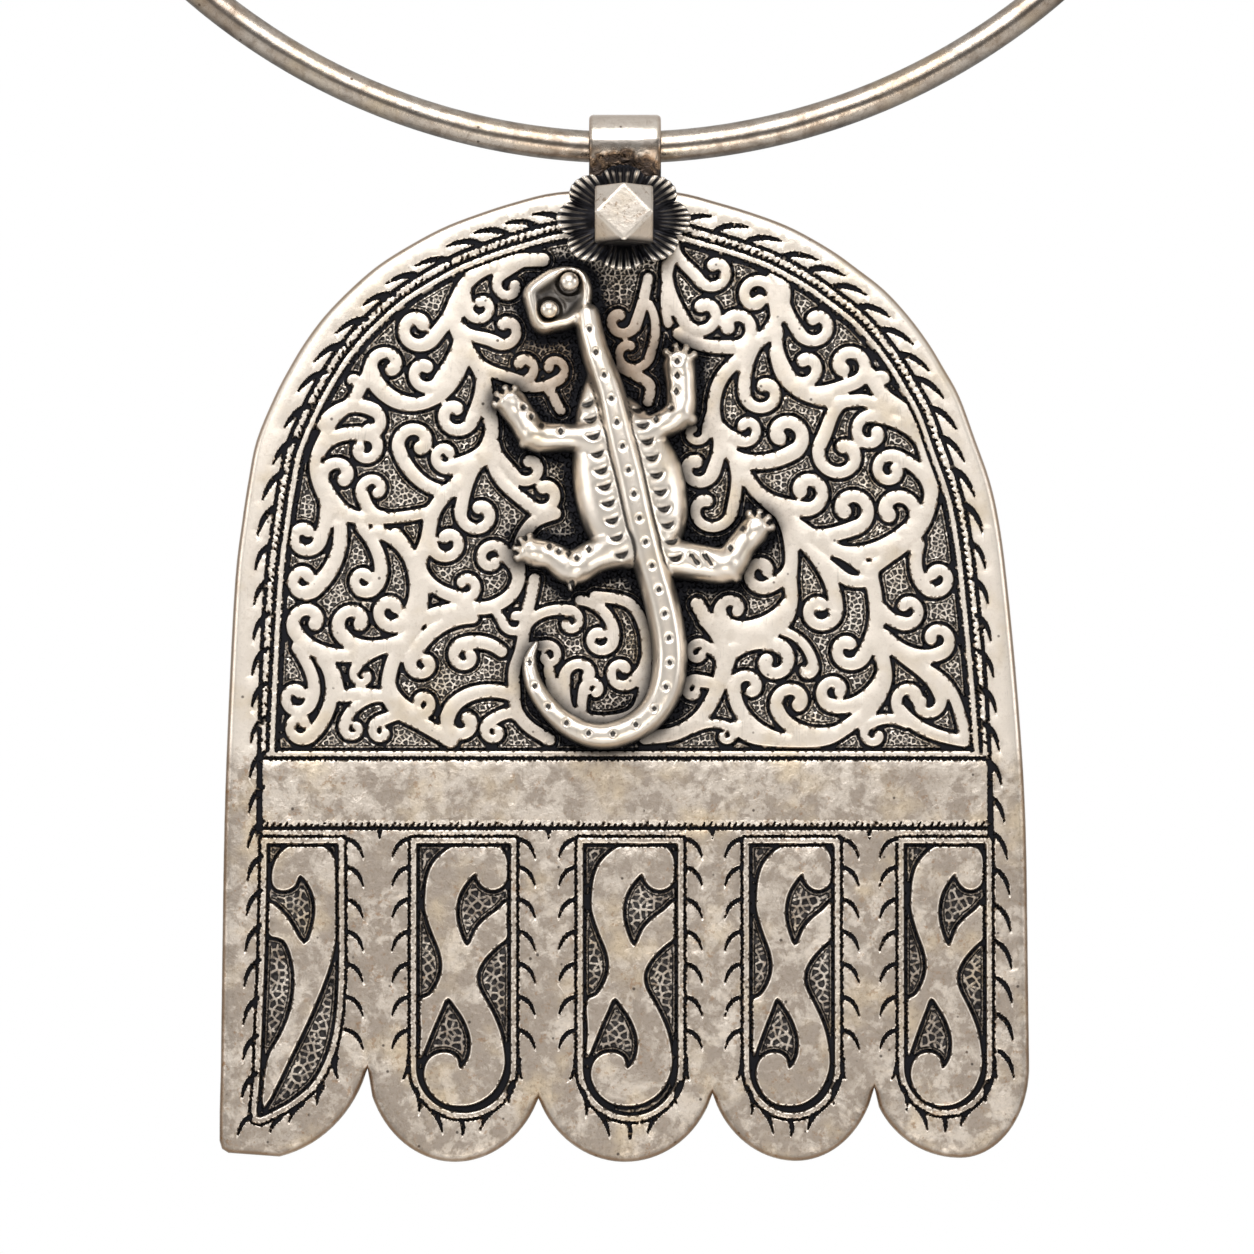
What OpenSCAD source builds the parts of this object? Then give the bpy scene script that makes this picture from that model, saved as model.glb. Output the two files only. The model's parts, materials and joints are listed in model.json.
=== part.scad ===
// A hamsa pendant on a rigid neck ring: a five-lobed silver plate with a chased scrollwork palm,
// an applied lizard, a crimped rosette under a faceted boss, and a strap bail over the ring's wire.
// The ring stands in the XZ plane, the front of the pendant faces -Y, and the origin is where the
// clasp barrel at the top of the ring rests on the nape.

/* [Neck ring] */
// Radius of the neck ring, to the middle of its wire
ring_r = 65.6; // [62:0.1:72]
// Diameter of the ring's round wire
wire_d = 3.2; // [2.8:0.1:3.3]
// Outer diameter of the clasp barrel at the nape
barrel_d = 5.2; // [4.8:0.1:6]
// Angle of the ring that the clasp barrel covers, in degrees
barrel_sweep = 14; // [10:1:24]
// Gap between the two wire ends inside the barrel, in degrees of the ring
ring_gap = 3; // [1:0.5:4]

/* [Hand plate] */
// Thickness of the hand plate
plate_t = 2.2; // [1.8:0.1:2.6]
// Depth of the chased ground below the face
ground_d = 0.55; // [0.3:0.05:0.7]
// Depth of the border grooves and thorns
groove_d = 0.35; // [0.2:0.05:0.5]
// Height of the ring wire's middle above the foot of the palm
hang = 60.4; // [60:0.1:62]
// Distance from the plate's edge to the scrollwork field
border = 5.7; // [5.5:0.1:6]

/* [Bail, rosette and boss] */
// Width of the strap bail
bail_w = 7.2; // [6:0.1:8]
// Thickness of the bail's strap
strap_t = 1.3; // [1.0:0.1:1.4]
// Radius of the bail's bore round the wire
bail_bore_r = 2.0; // [1.9:0.05:2.1]
// Half width of the rosette
rosette_rx = 6.7; // [6:0.1:7]
// Half height of the rosette
rosette_rz = 5.3; // [5:0.1:6]
// Width across the faceted boss
boss_w = 5.8; // [5:0.1:6.2]

/* [Lizard] */
// Height of the lizard's back above the plate
lizard_h = 3.6; // [2.5:0.1:4]

/* [Hidden] */

wire_r = wire_d / 2;
barrel_r = barrel_d / 2;
ring_z = barrel_r - ring_r;
wire_z = ring_z - ring_r;
foot_z = wire_z - hang;
face_y = -plate_t / 2;
fit = 0.05;
silver = [0.80, 0.77, 0.72];
dark_silver = [0.66, 0.63, 0.58];

// The plate's outline, from the top down: height above the palm's foot, half width left and right
sides = [
  [56.2, 0, 0], [55.9, 6.7, 5.2], [54.9, 11, 9.2], [53.6, 15, 13.4], [52.2, 18.5, 16.9],
  [50.1, 22.3, 20.6], [48.3, 25, 23.1], [46.1, 27.5, 25.9], [43.5, 30, 28.3], [40.8, 32, 30.3],
  [38.3, 33.5, 31.8], [35.4, 35, 33.4], [31, 36.8, 35.0], [27, 37.6, 36.4], [23, 38.2, 37.3],
  [17, 38.9, 38.1], [5, 39.5, 39.2], [-7, 39.9, 39.9], [-22, 40.1, 40.1], [-32, 40.2, 40.2]
];
// The five lobes: middle, level of its widest place, half width left and right, drop below that
lobes = [
  [-36.9, -28.0, 3.4, 11.9, 12.8],
  [-16.9, -30.5, 8.9, 9.05, 10.5],
  [0.0, -31.0, 9.25, 9.2, 10.0],
  [17.0, -30.9, 8.8, 8.1, 10.0],
  [33.3, -31.5, 9.0, 6.9, 9.1]
];
// The notches between the lobes: across, up
notches = [[-25.6, -31.7], [-8.6, -34.7], [8.7, -34.2], [24.8, -33.6]];

// The scroll arms of the palm, each one leaving a stem and winding up into a bulb.
// Columns: root across, root up, aim at the root, curl middle across, curl middle up,
// outer radius of the curl, direction of the tip from that middle, turn of the curl, width
arms = [
  [-28.4, 22.5, -85, -31.9, 16.9, 2.1, 20, -290, 1.7],
  [-26.3, 22.2, -45, -25.9, 16.9, 1.9, 30, -280, 1.5],
  [-22.9, 21.5, -48, -23.2, 13.8, 2.3, 20, -290, 1.6],
  [-26.5, 9.4, 185, -31.5, 12.6, 2.4, -30, -240, 1.6],
  [-22.3, 10.9, 205, -27.0, 12.5, 2.4, -20, -230, 1.6],
  [-32.7, 10.2, -55, -32.6, 5.2, 2.1, 30, -300, 1.4],
  [-30.2, 9.0, -50, -32.2, 2.3, 2.0, 30, -280, 1.5],
  [-23.6, 5.3, 175, -27.1, 2.2, 1.5, 60, 250, 1.2],
  [-21.8, 3.5, 175, -24.2, 1.9, 1.6, -10, 240, 1.3],
  [-23.5, 7.0, -85, -20.3, 4.6, 1.7, 170, 280, 1.4],
  [-15.2, 13.2, 180, -20.2, 8.7, 2.0, 60, 270, 1.6],
  [-23.3, 10.2, 195, -26.1, 7.5, 1.5, 20, 230, 1.1],
  [-12.3, 9.8, 140, -15.9, 9.4, 1.9, 40, 290, 1.5],
  [-11.2, 5.4, 155, -16.2, 2.9, 2.3, 50, 245, 1.6],
  [-10.4, 3.4, 150, -13.0, 1.9, 1.6, 30, 260, 1.3],
  [-20.3, 18.0, -70, -16.0, 16.3, 1.9, 150, 250, 1.4],
  [-12.9, 14.2, -85, -11.0, 12.9, 1.7, 110, 270, 1.1],
  [-9.9, 12.2, 60, -5.6, 12.8, 1.7, 200, -240, 1.2],
  [-4.5, 14.9, 0, -2.4, 11.1, 1.9, 60, -280, 1.3],
  [2.0, 8.8, -95, -0.2, 7.7, 2.0, 30, -290, 1.3],
  [-4.2, 3.6, 105, -3.2, 5.9, 1.5, -80, -250, 1.2],
  [-5.4, 3.6, 120, -4.3, 7.1, 2.4, -10, -190, 1.3],
  [-10.2, 9.8, 55, -7.7, 9.4, 1.6, 180, -280, 1.1],
  [16.5, 18.5, -100, 13.7, 17.6, 2.2, 0, -290, 1.5],
  [16.2, 14.6, 240, 10.7, 13.8, 2.0, -20, -220, 1.5],
  [9.8, 8.0, 95, 7.3, 9.7, 1.5, 10, 310, 1.1],
  [9.2, 6.2, 130, 6.9, 6.0, 1.6, -30, 250, 1.4],
  [17.0, 0.9, 182, 12.2, 6.1, 2.1, -60, -240, 1.5],
  [9.9, 8.3, 75, 14.7, 8.9, 2.4, 150, -270, 1.6],
  [15.8, 11.8, -15, 18.1, 8.1, 1.3, 170, -200, 1.1],
  [21.5, 1.9, 200, 16.7, 4.6, 2.4, -40, -240, 1.5],
  [6.8, 2.0, 30, 10.0, 1.5, 1.3, 170, -250, 1.0],
  [18.4, 20.0, -50, 19.5, 13.9, 2.3, 50, -310, 1.5],
  [25.0, 13.5, -92, 22.4, 10.0, 2.3, 60, -270, 1.6],
  [25.9, 8.5, -95, 20.9, 5.7, 2.1, -20, -270, 1.5],
  [25.6, 14.0, -60, 28.0, 13.9, 2.1, 140, 240, 1.5],
  [25.9, 11.4, -50, 31.0, 10.9, 2.1, 190, 250, 1.5],
  [33.8, 0.8, 170, 28.5, 4.9, 2.2, 10, -210, 1.4],
  [26.6, 10.2, -45, 30.0, 4.9, 2.2, 170, -210, 1.4],
  [28.0, 2.6, 150, 24.9, 1.6, 1.7, 0, 240, 1.2],
  [29.3, 20.5, -110, 31.0, 17.1, 2.1, 160, 290, 1.5],
  [-29.9, 25.5, -82, -31.8, 21.3, 2.2, 40, -300, 1.5],
  [-26.3, 23.2, 180, -28.6, 27.2, 2.4, -50, -260, 1.5],
  [-24.2, 23.3, 180, -25.1, 25.9, 1.9, -60, -260, 1.4],
  [-30.4, 29.8, 65, -26.0, 30.2, 2.1, 150, -290, 1.5],
  [-30.2, 32.5, 60, -25.9, 32.4, 2.5, -60, -120, 1.5],
  [-17.2, 25.8, 185, -20.9, 30.5, 2.5, -60, -260, 1.5],
  [-13.6, 31.0, -100, -17.8, 29.3, 1.9, 20, -270, 1.5],
  [-14.3, 36.8, -90, -16.8, 33.5, 2.4, 60, -280, 1.5],
  [-14.9, 28.3, -120, -14.7, 23.6, 2.4, 110, 300, 1.4],
  [-19.3, 24.0, -105, -17.8, 20.7, 2.2, 140, 300, 1.4],
  [-10.7, 17.2, 92, -13.2, 19.1, 2.0, -30, 300, 1.4],
  [-13.0, 30.5, -85, -9.8, 28.3, 2.2, 90, 235, 1.3],
  [-13.3, 29.3, -88, -8.3, 25.6, 2.4, 100, 230, 1.4],
  [-15.2, 39.3, -55, -10.3, 38.2, 2.0, 150, 260, 1.3],
  [-10.2, 36.2, -5, -7.2, 38.0, 1.8, 180, 240, 1.2],
  [-16.4, 42.2, -55, -12.1, 42.0, 2.2, 120, 240, 1.4],
  [-15.5, 47.5, -120, -14.5, 44.3, 1.9, 120, 290, 1.3],
  [-8.5, 49.2, 180, -11.5, 46.5, 2.0, 20, 260, 1.3],
  [-17.0, 44.8, -105, -20.6, 42.1, 2.5, 20, -300, 1.6],
  [-16.5, 41.2, -95, -19.8, 37.7, 2.3, 60, -270, 1.5],
  [-20.8, 34.6, 180, -23.8, 38.3, 2.3, -60, -260, 1.5],
  [-28.6, 33.9, 35, -27.2, 36.7, 1.1, 180, 200, 0.9],
  [9.0, 35.2, -95, 7.1, 31.8, 1.6, 110, -250, 1.1],
  [9.3, 31.5, -75, 7.3, 28.2, 2.3, 80, -260, 1.5],
  [10.8, 28.8, -70, 8.5, 24.2, 2.9, 90, -260, 1.3],
  [9.6, 32.2, -55, 12.0, 32.0, 1.9, 150, 270, 1.3],
  [13.2, 40.6, -125, 13.7, 35.8, 2.5, 110, 290, 1.4],
  [11.0, 29.2, -25, 16.0, 31.3, 2.6, 220, 280, 1.7],
  [13.2, 25.8, -45, 18.1, 25.7, 2.5, 200, 300, 1.6],
  [17.3, 21.9, -30, 22.5, 23.9, 2.6, 220, 290, 1.6],
  [20.5, 20.0, -20, 27.0, 23.6, 2.9, 220, 270, 1.6],
  [30.4, 25.6, 95, 26.5, 28.0, 2.1, 40, 330, 1.4],
  [29.9, 30.0, 110, 24.6, 31.8, 2.3, 20, 300, 1.4],
  [22.3, 34.9, 190, 21.5, 29.6, 3.0, 100, 310, 1.5],
  [4.9, 50.5, -85, 8.8, 47.9, 2.3, 120, 265, 1.3],
  [15.0, 42.0, 80, 13.2, 45.4, 2.3, -30, 320, 1.4],
  [4.2, 48.5, -95, 7.6, 43.7, 2.6, 120, 270, 1.4],
  [5.3, 41.6, -40, 10.9, 42.1, 2.6, 200, 290, 1.5],
  [2.3, 47.2, -100, -0.3, 43.0, 2.1, 90, -250, 1.3],
  [2.4, 44.6, -60, 0.7, 39.8, 2.4, 80, -260, 1.1],
  [15.6, 46.2, -85, 18.9, 42.5, 2.4, 130, 275, 1.4],
  [15.3, 41.8, -105, 17.8, 38.3, 2.4, 120, 270, 1.4],
  [17.3, 36.0, -20, 22.3, 38.3, 2.5, 240, 310, 1.5],
  [28.0, 34.0, 160, 25.7, 36.8, 1.4, 0, -200, 1.0]
];

// The stems that carry the arms. Each one is a width and the points that it passes through
stems = [
  [1.5, [[-17.3, 0.9], [-20.3, 2.6], [-22.8, 4.0], [-23.6, 6.0], [-23.2, 8.5], [-22.3, 10.3],
    [-20.8, 12.6], [-20.3, 15.0], [-20.5, 18.5], [-19.7, 21.0], [-19.0, 24.0], [-17.0, 26.4],
    [-14.4, 29.0], [-13.3, 31.5], [-13.6, 34.5], [-14.3, 37.5], [-15.9, 40.3], [-16.9, 42.3],
    [-16.9, 44.5], [-15.9, 46.6], [-14.0, 48.1], [-11.0, 48.9], [-8.2, 49.0]]],
  [1.3, [[-7.5, 1.0], [-9.6, 2.3], [-10.8, 3.9], [-11.0, 6.0], [-11.0, 8.0], [-10.3, 10.2],
    [-9.8, 13.5], [-9.3, 15.5], [-9.0, 17.0]]],
  [1.4, [[-20.6, 12.9], [-18.5, 13.7], [-16.0, 14.1], [-13.5, 14.2], [-11.5, 15.3], [-10.6, 17.0],
    [-10.6, 19.0], [-10.3, 21.0], [-9.0, 22.8], [-7.0, 23.6]]],
  [1.3, [[-30.0, 9.2], [-28.9, 7.4], [-28.3, 5.4], [-26.6, 5.6], [-24.0, 5.3]]],
  [1.2, [[-19.6, 23.7], [-22.5, 23.2], [-26.0, 23.1], [-29.0, 23.8], [-30.6, 26.5], [-30.9, 29.0],
    [-29.9, 31.5], [-28.9, 33.2], [-27.0, 35.0], [-25.6, 37.8]]],
  [1.4, [[-15.9, 39.5], [-16.9, 37.2], [-18.5, 35.4], [-20.8, 34.5], [-23.0, 34.8], [-24.8, 36.2],
    [-25.5, 38.0]]],
  [1.2, [[-7.6, 8.0], [-7.2, 6.0], [-6.0, 4.2], [-4.0, 3.1], [-1.5, 2.9], [0.8, 3.6], [1.8, 5.5],
    [2.2, 9.5], [1.8, 12.5], [0.3, 14.7], [-3.0, 15.3]]],
  [1.5, [[2.0, 1.2], [5.0, 1.6], [7.3, 3.0], [8.7, 5.0], [9.5, 7.0], [9.8, 9.5], [9.3, 11.3],
    [8.2, 12.8], [7.2, 14.5]]],
  [1.4, [[9.9, 7.5], [10.8, 10.0], [12.7, 11.4], [15.0, 12.0], [16.2, 13.3], [16.6, 15.0],
    [16.5, 17.0], [16.6, 19.5], [16.2, 22.0], [15.2, 24.2]]],
  [1.5, [[8.0, 12.9], [10.5, 11.7], [13.0, 11.6], [15.5, 12.3]]],
  [1.5, [[11.2, 2.2], [13.0, 1.2], [17.0, 0.9], [20.0, 1.1], [22.0, 2.2], [23.6, 3.4], [25.0, 4.8],
    [25.9, 7.0], [25.6, 9.5], [25.1, 11.5], [25.1, 13.5], [24.9, 15.5], [24.6, 17.8], [25.8, 19.0],
    [27.6, 20.3], [29.3, 22.0], [30.3, 24.2], [30.6, 26.5], [30.2, 29.0], [29.4, 31.5], [28.0, 33.7],
    [25.8, 35.4], [24.4, 37.5]]],
  [1.4, [[24.6, 17.6], [22.3, 19.3], [19.8, 20.6], [17.5, 22.2], [15.0, 24.0], [12.8, 26.2],
    [11.2, 28.8], [9.9, 30.6], [9.0, 32.8], [8.9, 35.0], [9.8, 37.4], [12.2, 39.8], [14.2, 41.6],
    [15.5, 43.8], [15.9, 46.0], [15.0, 47.5]]],
  [1.3, [[24.2, 16.8], [22.3, 16.9], [20.5, 18.2], [18.4, 20.0], [16.5, 22.0]]],
  [1.0, [[3.2, 41.0], [3.5, 43.5], [4.0, 46.0], [4.6, 48.5], [5.0, 50.3]]],
  [1.3, [[15.0, 39.8], [15.6, 37.6], [17.2, 35.9], [19.4, 35.0], [21.8, 34.8], [24.0, 34.9],
    [26.2, 33.9]]],
  [1.2, [[27.0, 9.9], [30.5, 8.4], [32.3, 6.8], [33.1, 4.5], [33.9, 1.0]]]
];

// A finger panel's scroll, clockwise from its left shoulder, across from the panel's middle and up
scroll = [
  [-3.9, -14.4], [-3.7, -12.8], [-3.1, -11.3], [-1.8, -10.0], [-0.5, -9.4], [1.0, -9.15],
  [2.5, -9.3], [3.7, -9.8], [4.35, -10.9], [4.4, -12.6], [4.1, -13.5], [3.3, -14.0],
  [2.5, -14.0], [1.8, -13.6], [1.3, -12.9], [1.15, -12.4], [0.3, -13.3], [-0.4, -14.5],
  [-0.7, -16.0], [-0.5, -17.6], [0.35, -19.5], [1.2, -17.9], [2.2, -16.8], [3.3, -16.0],
  [4.4, -15.1], [4.35, -17.0], [4.4, -18.7], [3.4, -19.6], [2.2, -20.8], [1.5, -22.0],
  [1.4, -23.0], [1.7, -24.0], [2.5, -25.4], [3.3, -27.0], [3.9, -28.8], [4.2, -31.2],
  [3.7, -33.0], [2.8, -34.3], [1.4, -35.2], [0.0, -35.5], [-1.8, -35.3], [-3.1, -34.4],
  [-3.8, -33.2], [-4.0, -32.3], [-3.8, -31.3], [-3.3, -30.6], [-2.6, -30.2], [-1.7, -30.1],
  [-0.9, -30.4], [-0.5, -30.9], [-0.3, -31.7], [0.4, -30.8], [0.65, -29.8], [0.6, -28.5],
  [0.0, -26.9], [-0.8, -25.7], [-1.6, -24.8], [-2.2, -26.0], [-3.0, -27.8], [-4.4, -31.0],
  [-4.3, -28.0], [-4.4, -25.1], [-3.4, -24.4], [-2.6, -23.2], [-2.2, -21.8], [-2.4, -20.2],
  [-3.2, -18.2], [-3.9, -16.0]
];
// The leaf-shaped scroll of the first finger
leaf_scroll = [
  [-35.2, -12.6], [-34.8, -11.0], [-33.9, -9.9], [-32.6, -9.2], [-30.9, -9.2], [-29.4, -10.1],
  [-28.5, -11.8], [-28.3, -14.5], [-28.5, -17.5], [-29.2, -21.2], [-30.8, -25.5], [-33.0, -30.2],
  [-35.9, -35.8], [-35.6, -31.0], [-34.3, -28.5], [-33.3, -26.0], [-32.9, -23.2], [-33.2, -20.8],
  [-34.0, -19.0], [-35.6, -18.3], [-35.5, -15.2], [-33.6, -16.7], [-31.9, -19.3], [-31.0, -17.2],
  [-30.9, -15.2], [-31.4, -13.7], [-32.3, -12.6], [-32.8, -13.6], [-33.8, -14.1], [-34.9, -13.8]
];
leaf_frame = [
  [-35.8, -8.9], [-28.1, -8.9], [-28.0, -22.0], [-28.3, -27.0], [-29.2, -31.0], [-31.2, -34.2],
  [-33.4, -35.9], [-36.2, -36.9], [-35.9, -31.0]
];
// Panels of the other fingers: middle, width between the raised lines, foot of the raised line
panels = [
  [-16.05, 10.3, -36.6],
  [0.55, 10.35, -36.9],
  [16.6, 9.4, -36.6],
  [31.85, 9.1, -36.3]
];
panel_top = -8.9;
shoulder = -31.6;

// Thorns along a finger frame: how far up each one leaves the frame's outer line
thorn_rows = [-9.1, -12.2, -15.3, -18.5, -21.7, -24.9, -28.1];

// Steps along the lead and the curl of a scroll arm
arm_steps = [1, 5];
// How much the sunk ground takes off each side of an arm or a stem
trim = 0.108;
// Depth of the stems below the face
stem_d = 0.12;

// Curves: a smooth line through points, and a stroke of some width along a line
function curve_at(a, b, c, d, t) = 0.5 * (2 * b + (c - a) * t + (2 * a - 5 * b + 4 * c - d) * t * t
  + (3 * b - a - 3 * c + d) * t * t * t);
function smooth(p, n) = concat([for (i = [0:len(p) - 2]) for (j = [0:n - 1])
  curve_at(p[max(i - 1, 0)], p[i], p[i + 1], p[min(i + 2, len(p) - 1)], j / n)], [p[len(p) - 1]]);
function smooth_loop(p, n) = [for (i = [0:len(p) - 1]) for (j = [0:n - 1])
  curve_at(p[(i + len(p) - 1) % len(p)], p[i], p[(i + 1) % len(p)], p[(i + 2) % len(p)], j / n)];
function unit(v) = v / max(norm(v), 0.000001);
function way(p, i) = unit(p[min(i + 1, len(p) - 1)] - p[max(i - 1, 0)]);
function side_of(p, i, s) = [p[i][0] - way(p, i)[1] * s, p[i][1] + way(p, i)[0] * s];

// A scroll arm: a cubic lead from its root to the curl, and a curl whose radius shrinks to the tip
function arm_side(a) = a[7] > 0 ? 1 : -1;
function arm_rad(a, k) = (a[5] - a[8] / 2) * (1 - k) + 0.42 * a[5] * k;
function arm_curl(a, k) = [a[3], a[4]] + arm_rad(a, k) * [cos(a[6] - a[7] * (1 - k)),
  sin(a[6] - a[7] * (1 - k))];
function arm_reach(a) = 1.1 * norm(arm_curl(a, 0) - [a[0], a[1]]);
function arm_exit(a) = a[6] - a[7] + 90 * arm_side(a);
function arm_lead(a, t) = (2 * t * t * t - 3 * t * t + 1) * [a[0], a[1]]
  + (t * t * t - 2 * t * t + t) * arm_reach(a) * [cos(a[2]), sin(a[2])]
  + (3 * t * t - 2 * t * t * t) * arm_curl(a, 0)
  + (t * t * t - t * t) * arm_reach(a) * [cos(arm_exit(a)), sin(arm_exit(a))];
function arm_line(a, n, m) = concat([for (i = [0:n - 1]) arm_lead(a, i / n)],
  [for (i = [0:m]) arm_curl(a, i / m)]);
function arm_width(a, i, n, m) = i < n ? a[8] * (0.85 + 0.15 * i / n)
  : a[8] + (min(0.62 * a[5], a[8]) - a[8]) * (i - n) / m;

// The outline of the plate, anticlockwise from the crown, and the same outline moved inwards
function mid_sides(s) = [for (r = sides) [s < 0 ? -r[1] : r[2], r[0]]];
function arc_pts(c, a, b, from, to, n) = [for (i = [0:n])
  [c[0] + a * cos(from + (to - from) * i / n), c[1] + b * sin(from + (to - from) * i / n)]];
function lobe_pts(i) = concat(
  arc_pts([lobes[i][0], lobes[i][1]], lobes[i][2], lobes[i][4], i == 0 ? 226 : 190, 270, i == 0 ? 1 : 4),
  arc_pts([lobes[i][0], lobes[i][1]], lobes[i][3], lobes[i][4], 289, i == 4 ? 352 : 350, 4));
function lobe_part(i) = [for (p = lobe_pts(i))
  if ((i == 0 || p[0] > notches[i - 1][0] + 0.3) && (i == 4 || p[0] < notches[i][0] - 0.3)) p];
function rev(p) = [for (i = [len(p) - 1:-1:0]) p[i]];
outline = concat(
  mid_sides(-1), [[-40.3, -36.0], [-40.3, -38.9], [-40.05, -39.7], [-39.4, -40.1]],
  lobe_part_first(), [notches[0]], lobe_part(1), [notches[1]], lobe_part(2), [notches[2]],
  lobe_part(3), [notches[3]], lobe_part(4), rev([for (p = mid_sides(1)) if (p[0] > 0) p])
);
function lobe_part_first() = [for (p = arc_pts([-37.0, -28.0], 11.9, 12.8, 283, 345, 6))
  if (p[0] < notches[0][0] - 0.2) p];
function miter(i) = let (n = len(outline), a = unit(outline[i] - outline[(i + n - 1) % n]),
  b = unit(outline[(i + 1) % n] - outline[i]), m = [-a[1] - b[1], a[0] + b[0]])
  m / max(1 + a * b, 0.45);
function inner(d, y) = [for (i = [0:len(outline) - 1])
  let (p = outline[i] + d * miter(i)) [p[0], y, foot_z + p[1]]];

// A closed skin over rows of points that all have the same length
module skin(rows) {
  n = len(rows[0]);
  m = len(rows);
  pts = [for (r = rows) for (p = r) p];
  sides_tri = [for (j = [0:m - 2]) for (i = [0:n - 1]) for (k = [0, 1]) k == 0
    ? [j * n + i, j * n + (i + 1) % n, (j + 1) * n + i]
    : [j * n + (i + 1) % n, (j + 1) * n + (i + 1) % n, (j + 1) * n + i]];
  polyhedron(points = pts, faces = concat([[for (i = [n - 1:-1:0]) i]], sides_tri,
    [[for (i = [0:n - 1]) (m - 1) * n + i]]), convexity = 8);
}

// A cut or a raised form, drawn flat in the plate's plane, from depth d behind the face to h before it
module from_face(d, h) {
  translate([0, face_y + d, foot_z])
    rotate([90, 0, 0])
      linear_extrude(height = d + h, convexity = 12) children();
}

// A flat stroke along a line, with its own width at every point
module stroke(p, w) {
  for (i = [0:len(p) - 2])
    polygon([side_of(p, i, w[i] / 2), side_of(p, i, -w[i] / 2), side_of(p, i + 1, -w[i + 1] / 2),
      side_of(p, i + 1, w[i + 1] / 2)]);
}

module scroll_arm(a) {
  n = arm_steps[0];
  m = a[5] < 2.25 ? arm_steps[1] - 1 : arm_steps[1];
  p = arm_line(a, n, m);
  w = [for (i = [0:n + m]) arm_width(a, i, n, m) - 2 * trim];
  end = p[n + m] + 0.42 * w[n + m] * way(p, n + m);
  stroke(p, w);
  polygon([side_of(p, n + m, w[n + m] / 2), end, side_of(p, n + m, -w[n + m] / 2)]);
}

module stem(s) {
  stroke(s[1], [for (q = s[1]) s[0] - 2 * trim]);
}

module inset_outline(d) {
  polygon([for (p = inner(d, 0)) [p[0], p[2] - foot_z]]);
}

module above(v) {
  translate([-50, v])
    square([100, 80]);
}

// The palm's field of chased scrollwork: the ground between the arms is sunk, and the stems run
// through it a little lower than the arms
module palm_ground() {
  from_face(ground_d, 0.5)
    difference() {
      intersection() {
        inset_outline(border);
        above(0.15);
      }
      for (a = arms) scroll_arm(a);
    }
}
module palm_stems() {
  from_face(ground_d + 0.2, -stem_d)
    for (s = stems) stem(s);
}

// One groove that follows the plate's edge between two distances from it, with the rim's thorns
module edge_groove(d1, d2, v) {
  from_face(groove_d, 0.5) {
    intersection() {
      difference() {
        inset_outline(d1);
        inset_outline(d2);
      }
      above(v);
    }
    edge_thorns();
  }
}

function u_shape(m, w, foot) = concat([[m - w / 2, panel_top]],
  arc_pts([m, shoulder], w / 2, shoulder - foot, 180, 360, 7), [[m + w / 2, panel_top]]);

module finger_grounds() {
  from_face(groove_d, 0.5) {
    for (p = panels) {
      difference() {
        polygon(u_shape(p[0], p[1] - 0.6, p[2] + 0.3));
        polygon([for (q = scroll) [p[0] + q[0] * p[1] / 10.35, q[1]]]);
      }
      difference() {
        polygon(u_shape(p[0], p[1] + 1.2, p[2] - 0.6));
        polygon(u_shape(p[0], p[1] + 0.6, p[2] - 0.3));
      }
    }
    difference() {
      polygon(leaf_frame);
      polygon(leaf_scroll);
    }
    finger_thorns();
  }
}

// The long line and the notched edge over the fingers, and the line at the palm's foot
module band_lines() {
  from_face(groove_d, 0.5) {
    translate([-35.4, -7.95])
      square([70.7, 0.35]);
    translate([-35.3, -1.1])
      square([70.6, 0.3]);
  }
}

// A thorn: a graver's pointed nick from its root on a line to its tip
module thorn(root, tip) {
  d = unit(tip - root);
  n = [-d[1], d[0]];
  polygon([root + 0.4 * n - 0.1 * d, root - 0.4 * n - 0.1 * d, tip + 0.2 * d]);
}

module finger_thorns() {
  for (p = panels) {
    for (v = thorn_rows) for (s = [-1, 1])
      if (s < 0 || p[0] < 30)
        thorn([p[0] + s * (p[1] / 2 + 0.45), v], [p[0] + s * (p[1] / 2 + 1.9), v - 1.8]);
  }
  for (v = thorn_rows)
    thorn([-27.5, v], [-25.9, v - 1.8]);
}

// Thorns of the rim, from the crown down both sides: where their tips stand, left and right
edge_tips = [
  [-9.6, 53.5, 9.1, 53.3], [-12.3, 52.6, 12.7, 52.2], [-15.4, 51.6, 15.9, 50.8],
  [-18.0, 50.3, 19.4, 48.9], [-21.1, 48.3, 22.1, 47.3], [-24.0, 46.5, 24.4, 45.3],
  [-26.4, 44.3, 26.8, 43.0], [-29.0, 41.5, 28.9, 40.4], [-31.1, 38.7, 30.5, 37.7],
  [-32.8, 35.6, 31.9, 35.0], [-34.1, 32.0, 33.2, 31.8], [-35.2, 28.4, 33.9, 28.7],
  [-36.2, 24.8, 34.9, 25.2], [-36.7, 21.2, 35.7, 21.5]
];
module edge_thorn(tip, s) {
  in = unit([0, min(tip[1], 16)] - tip);
  thorn(tip + 1.3 * in + 1.6 * s * [in[1], -in[0]], tip);
}
module edge_thorns() {
  for (t = edge_tips) {
    edge_thorn([t[0], t[1]], -1);
    edge_thorn([t[2], t[3]], 1);
  }
  for (i = [0:15]) {
    v = 17.9 - 3.35 * i;
    edge_thorn([-37.1 - 0.05 * i, v], -1);
    edge_thorn([36.5 + 0.13 * i, v - 0.4], 1);
  }
}

// The holes for the boss's shank and for the lizard's two pegs
lizard_pegs = [[-0.4, 29.5], [3.6, 20.5]];
boss_at = [-0.1, 53.0];
module holes() {
  for (q = concat(lizard_pegs, [boss_at]))
    translate([q[0], -5, foot_z + q[1]])
      rotate([-90, 0, 0])
        cylinder(h = 10, r = q == boss_at ? 1.15 : 1.05, $fn = 24);
}

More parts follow.
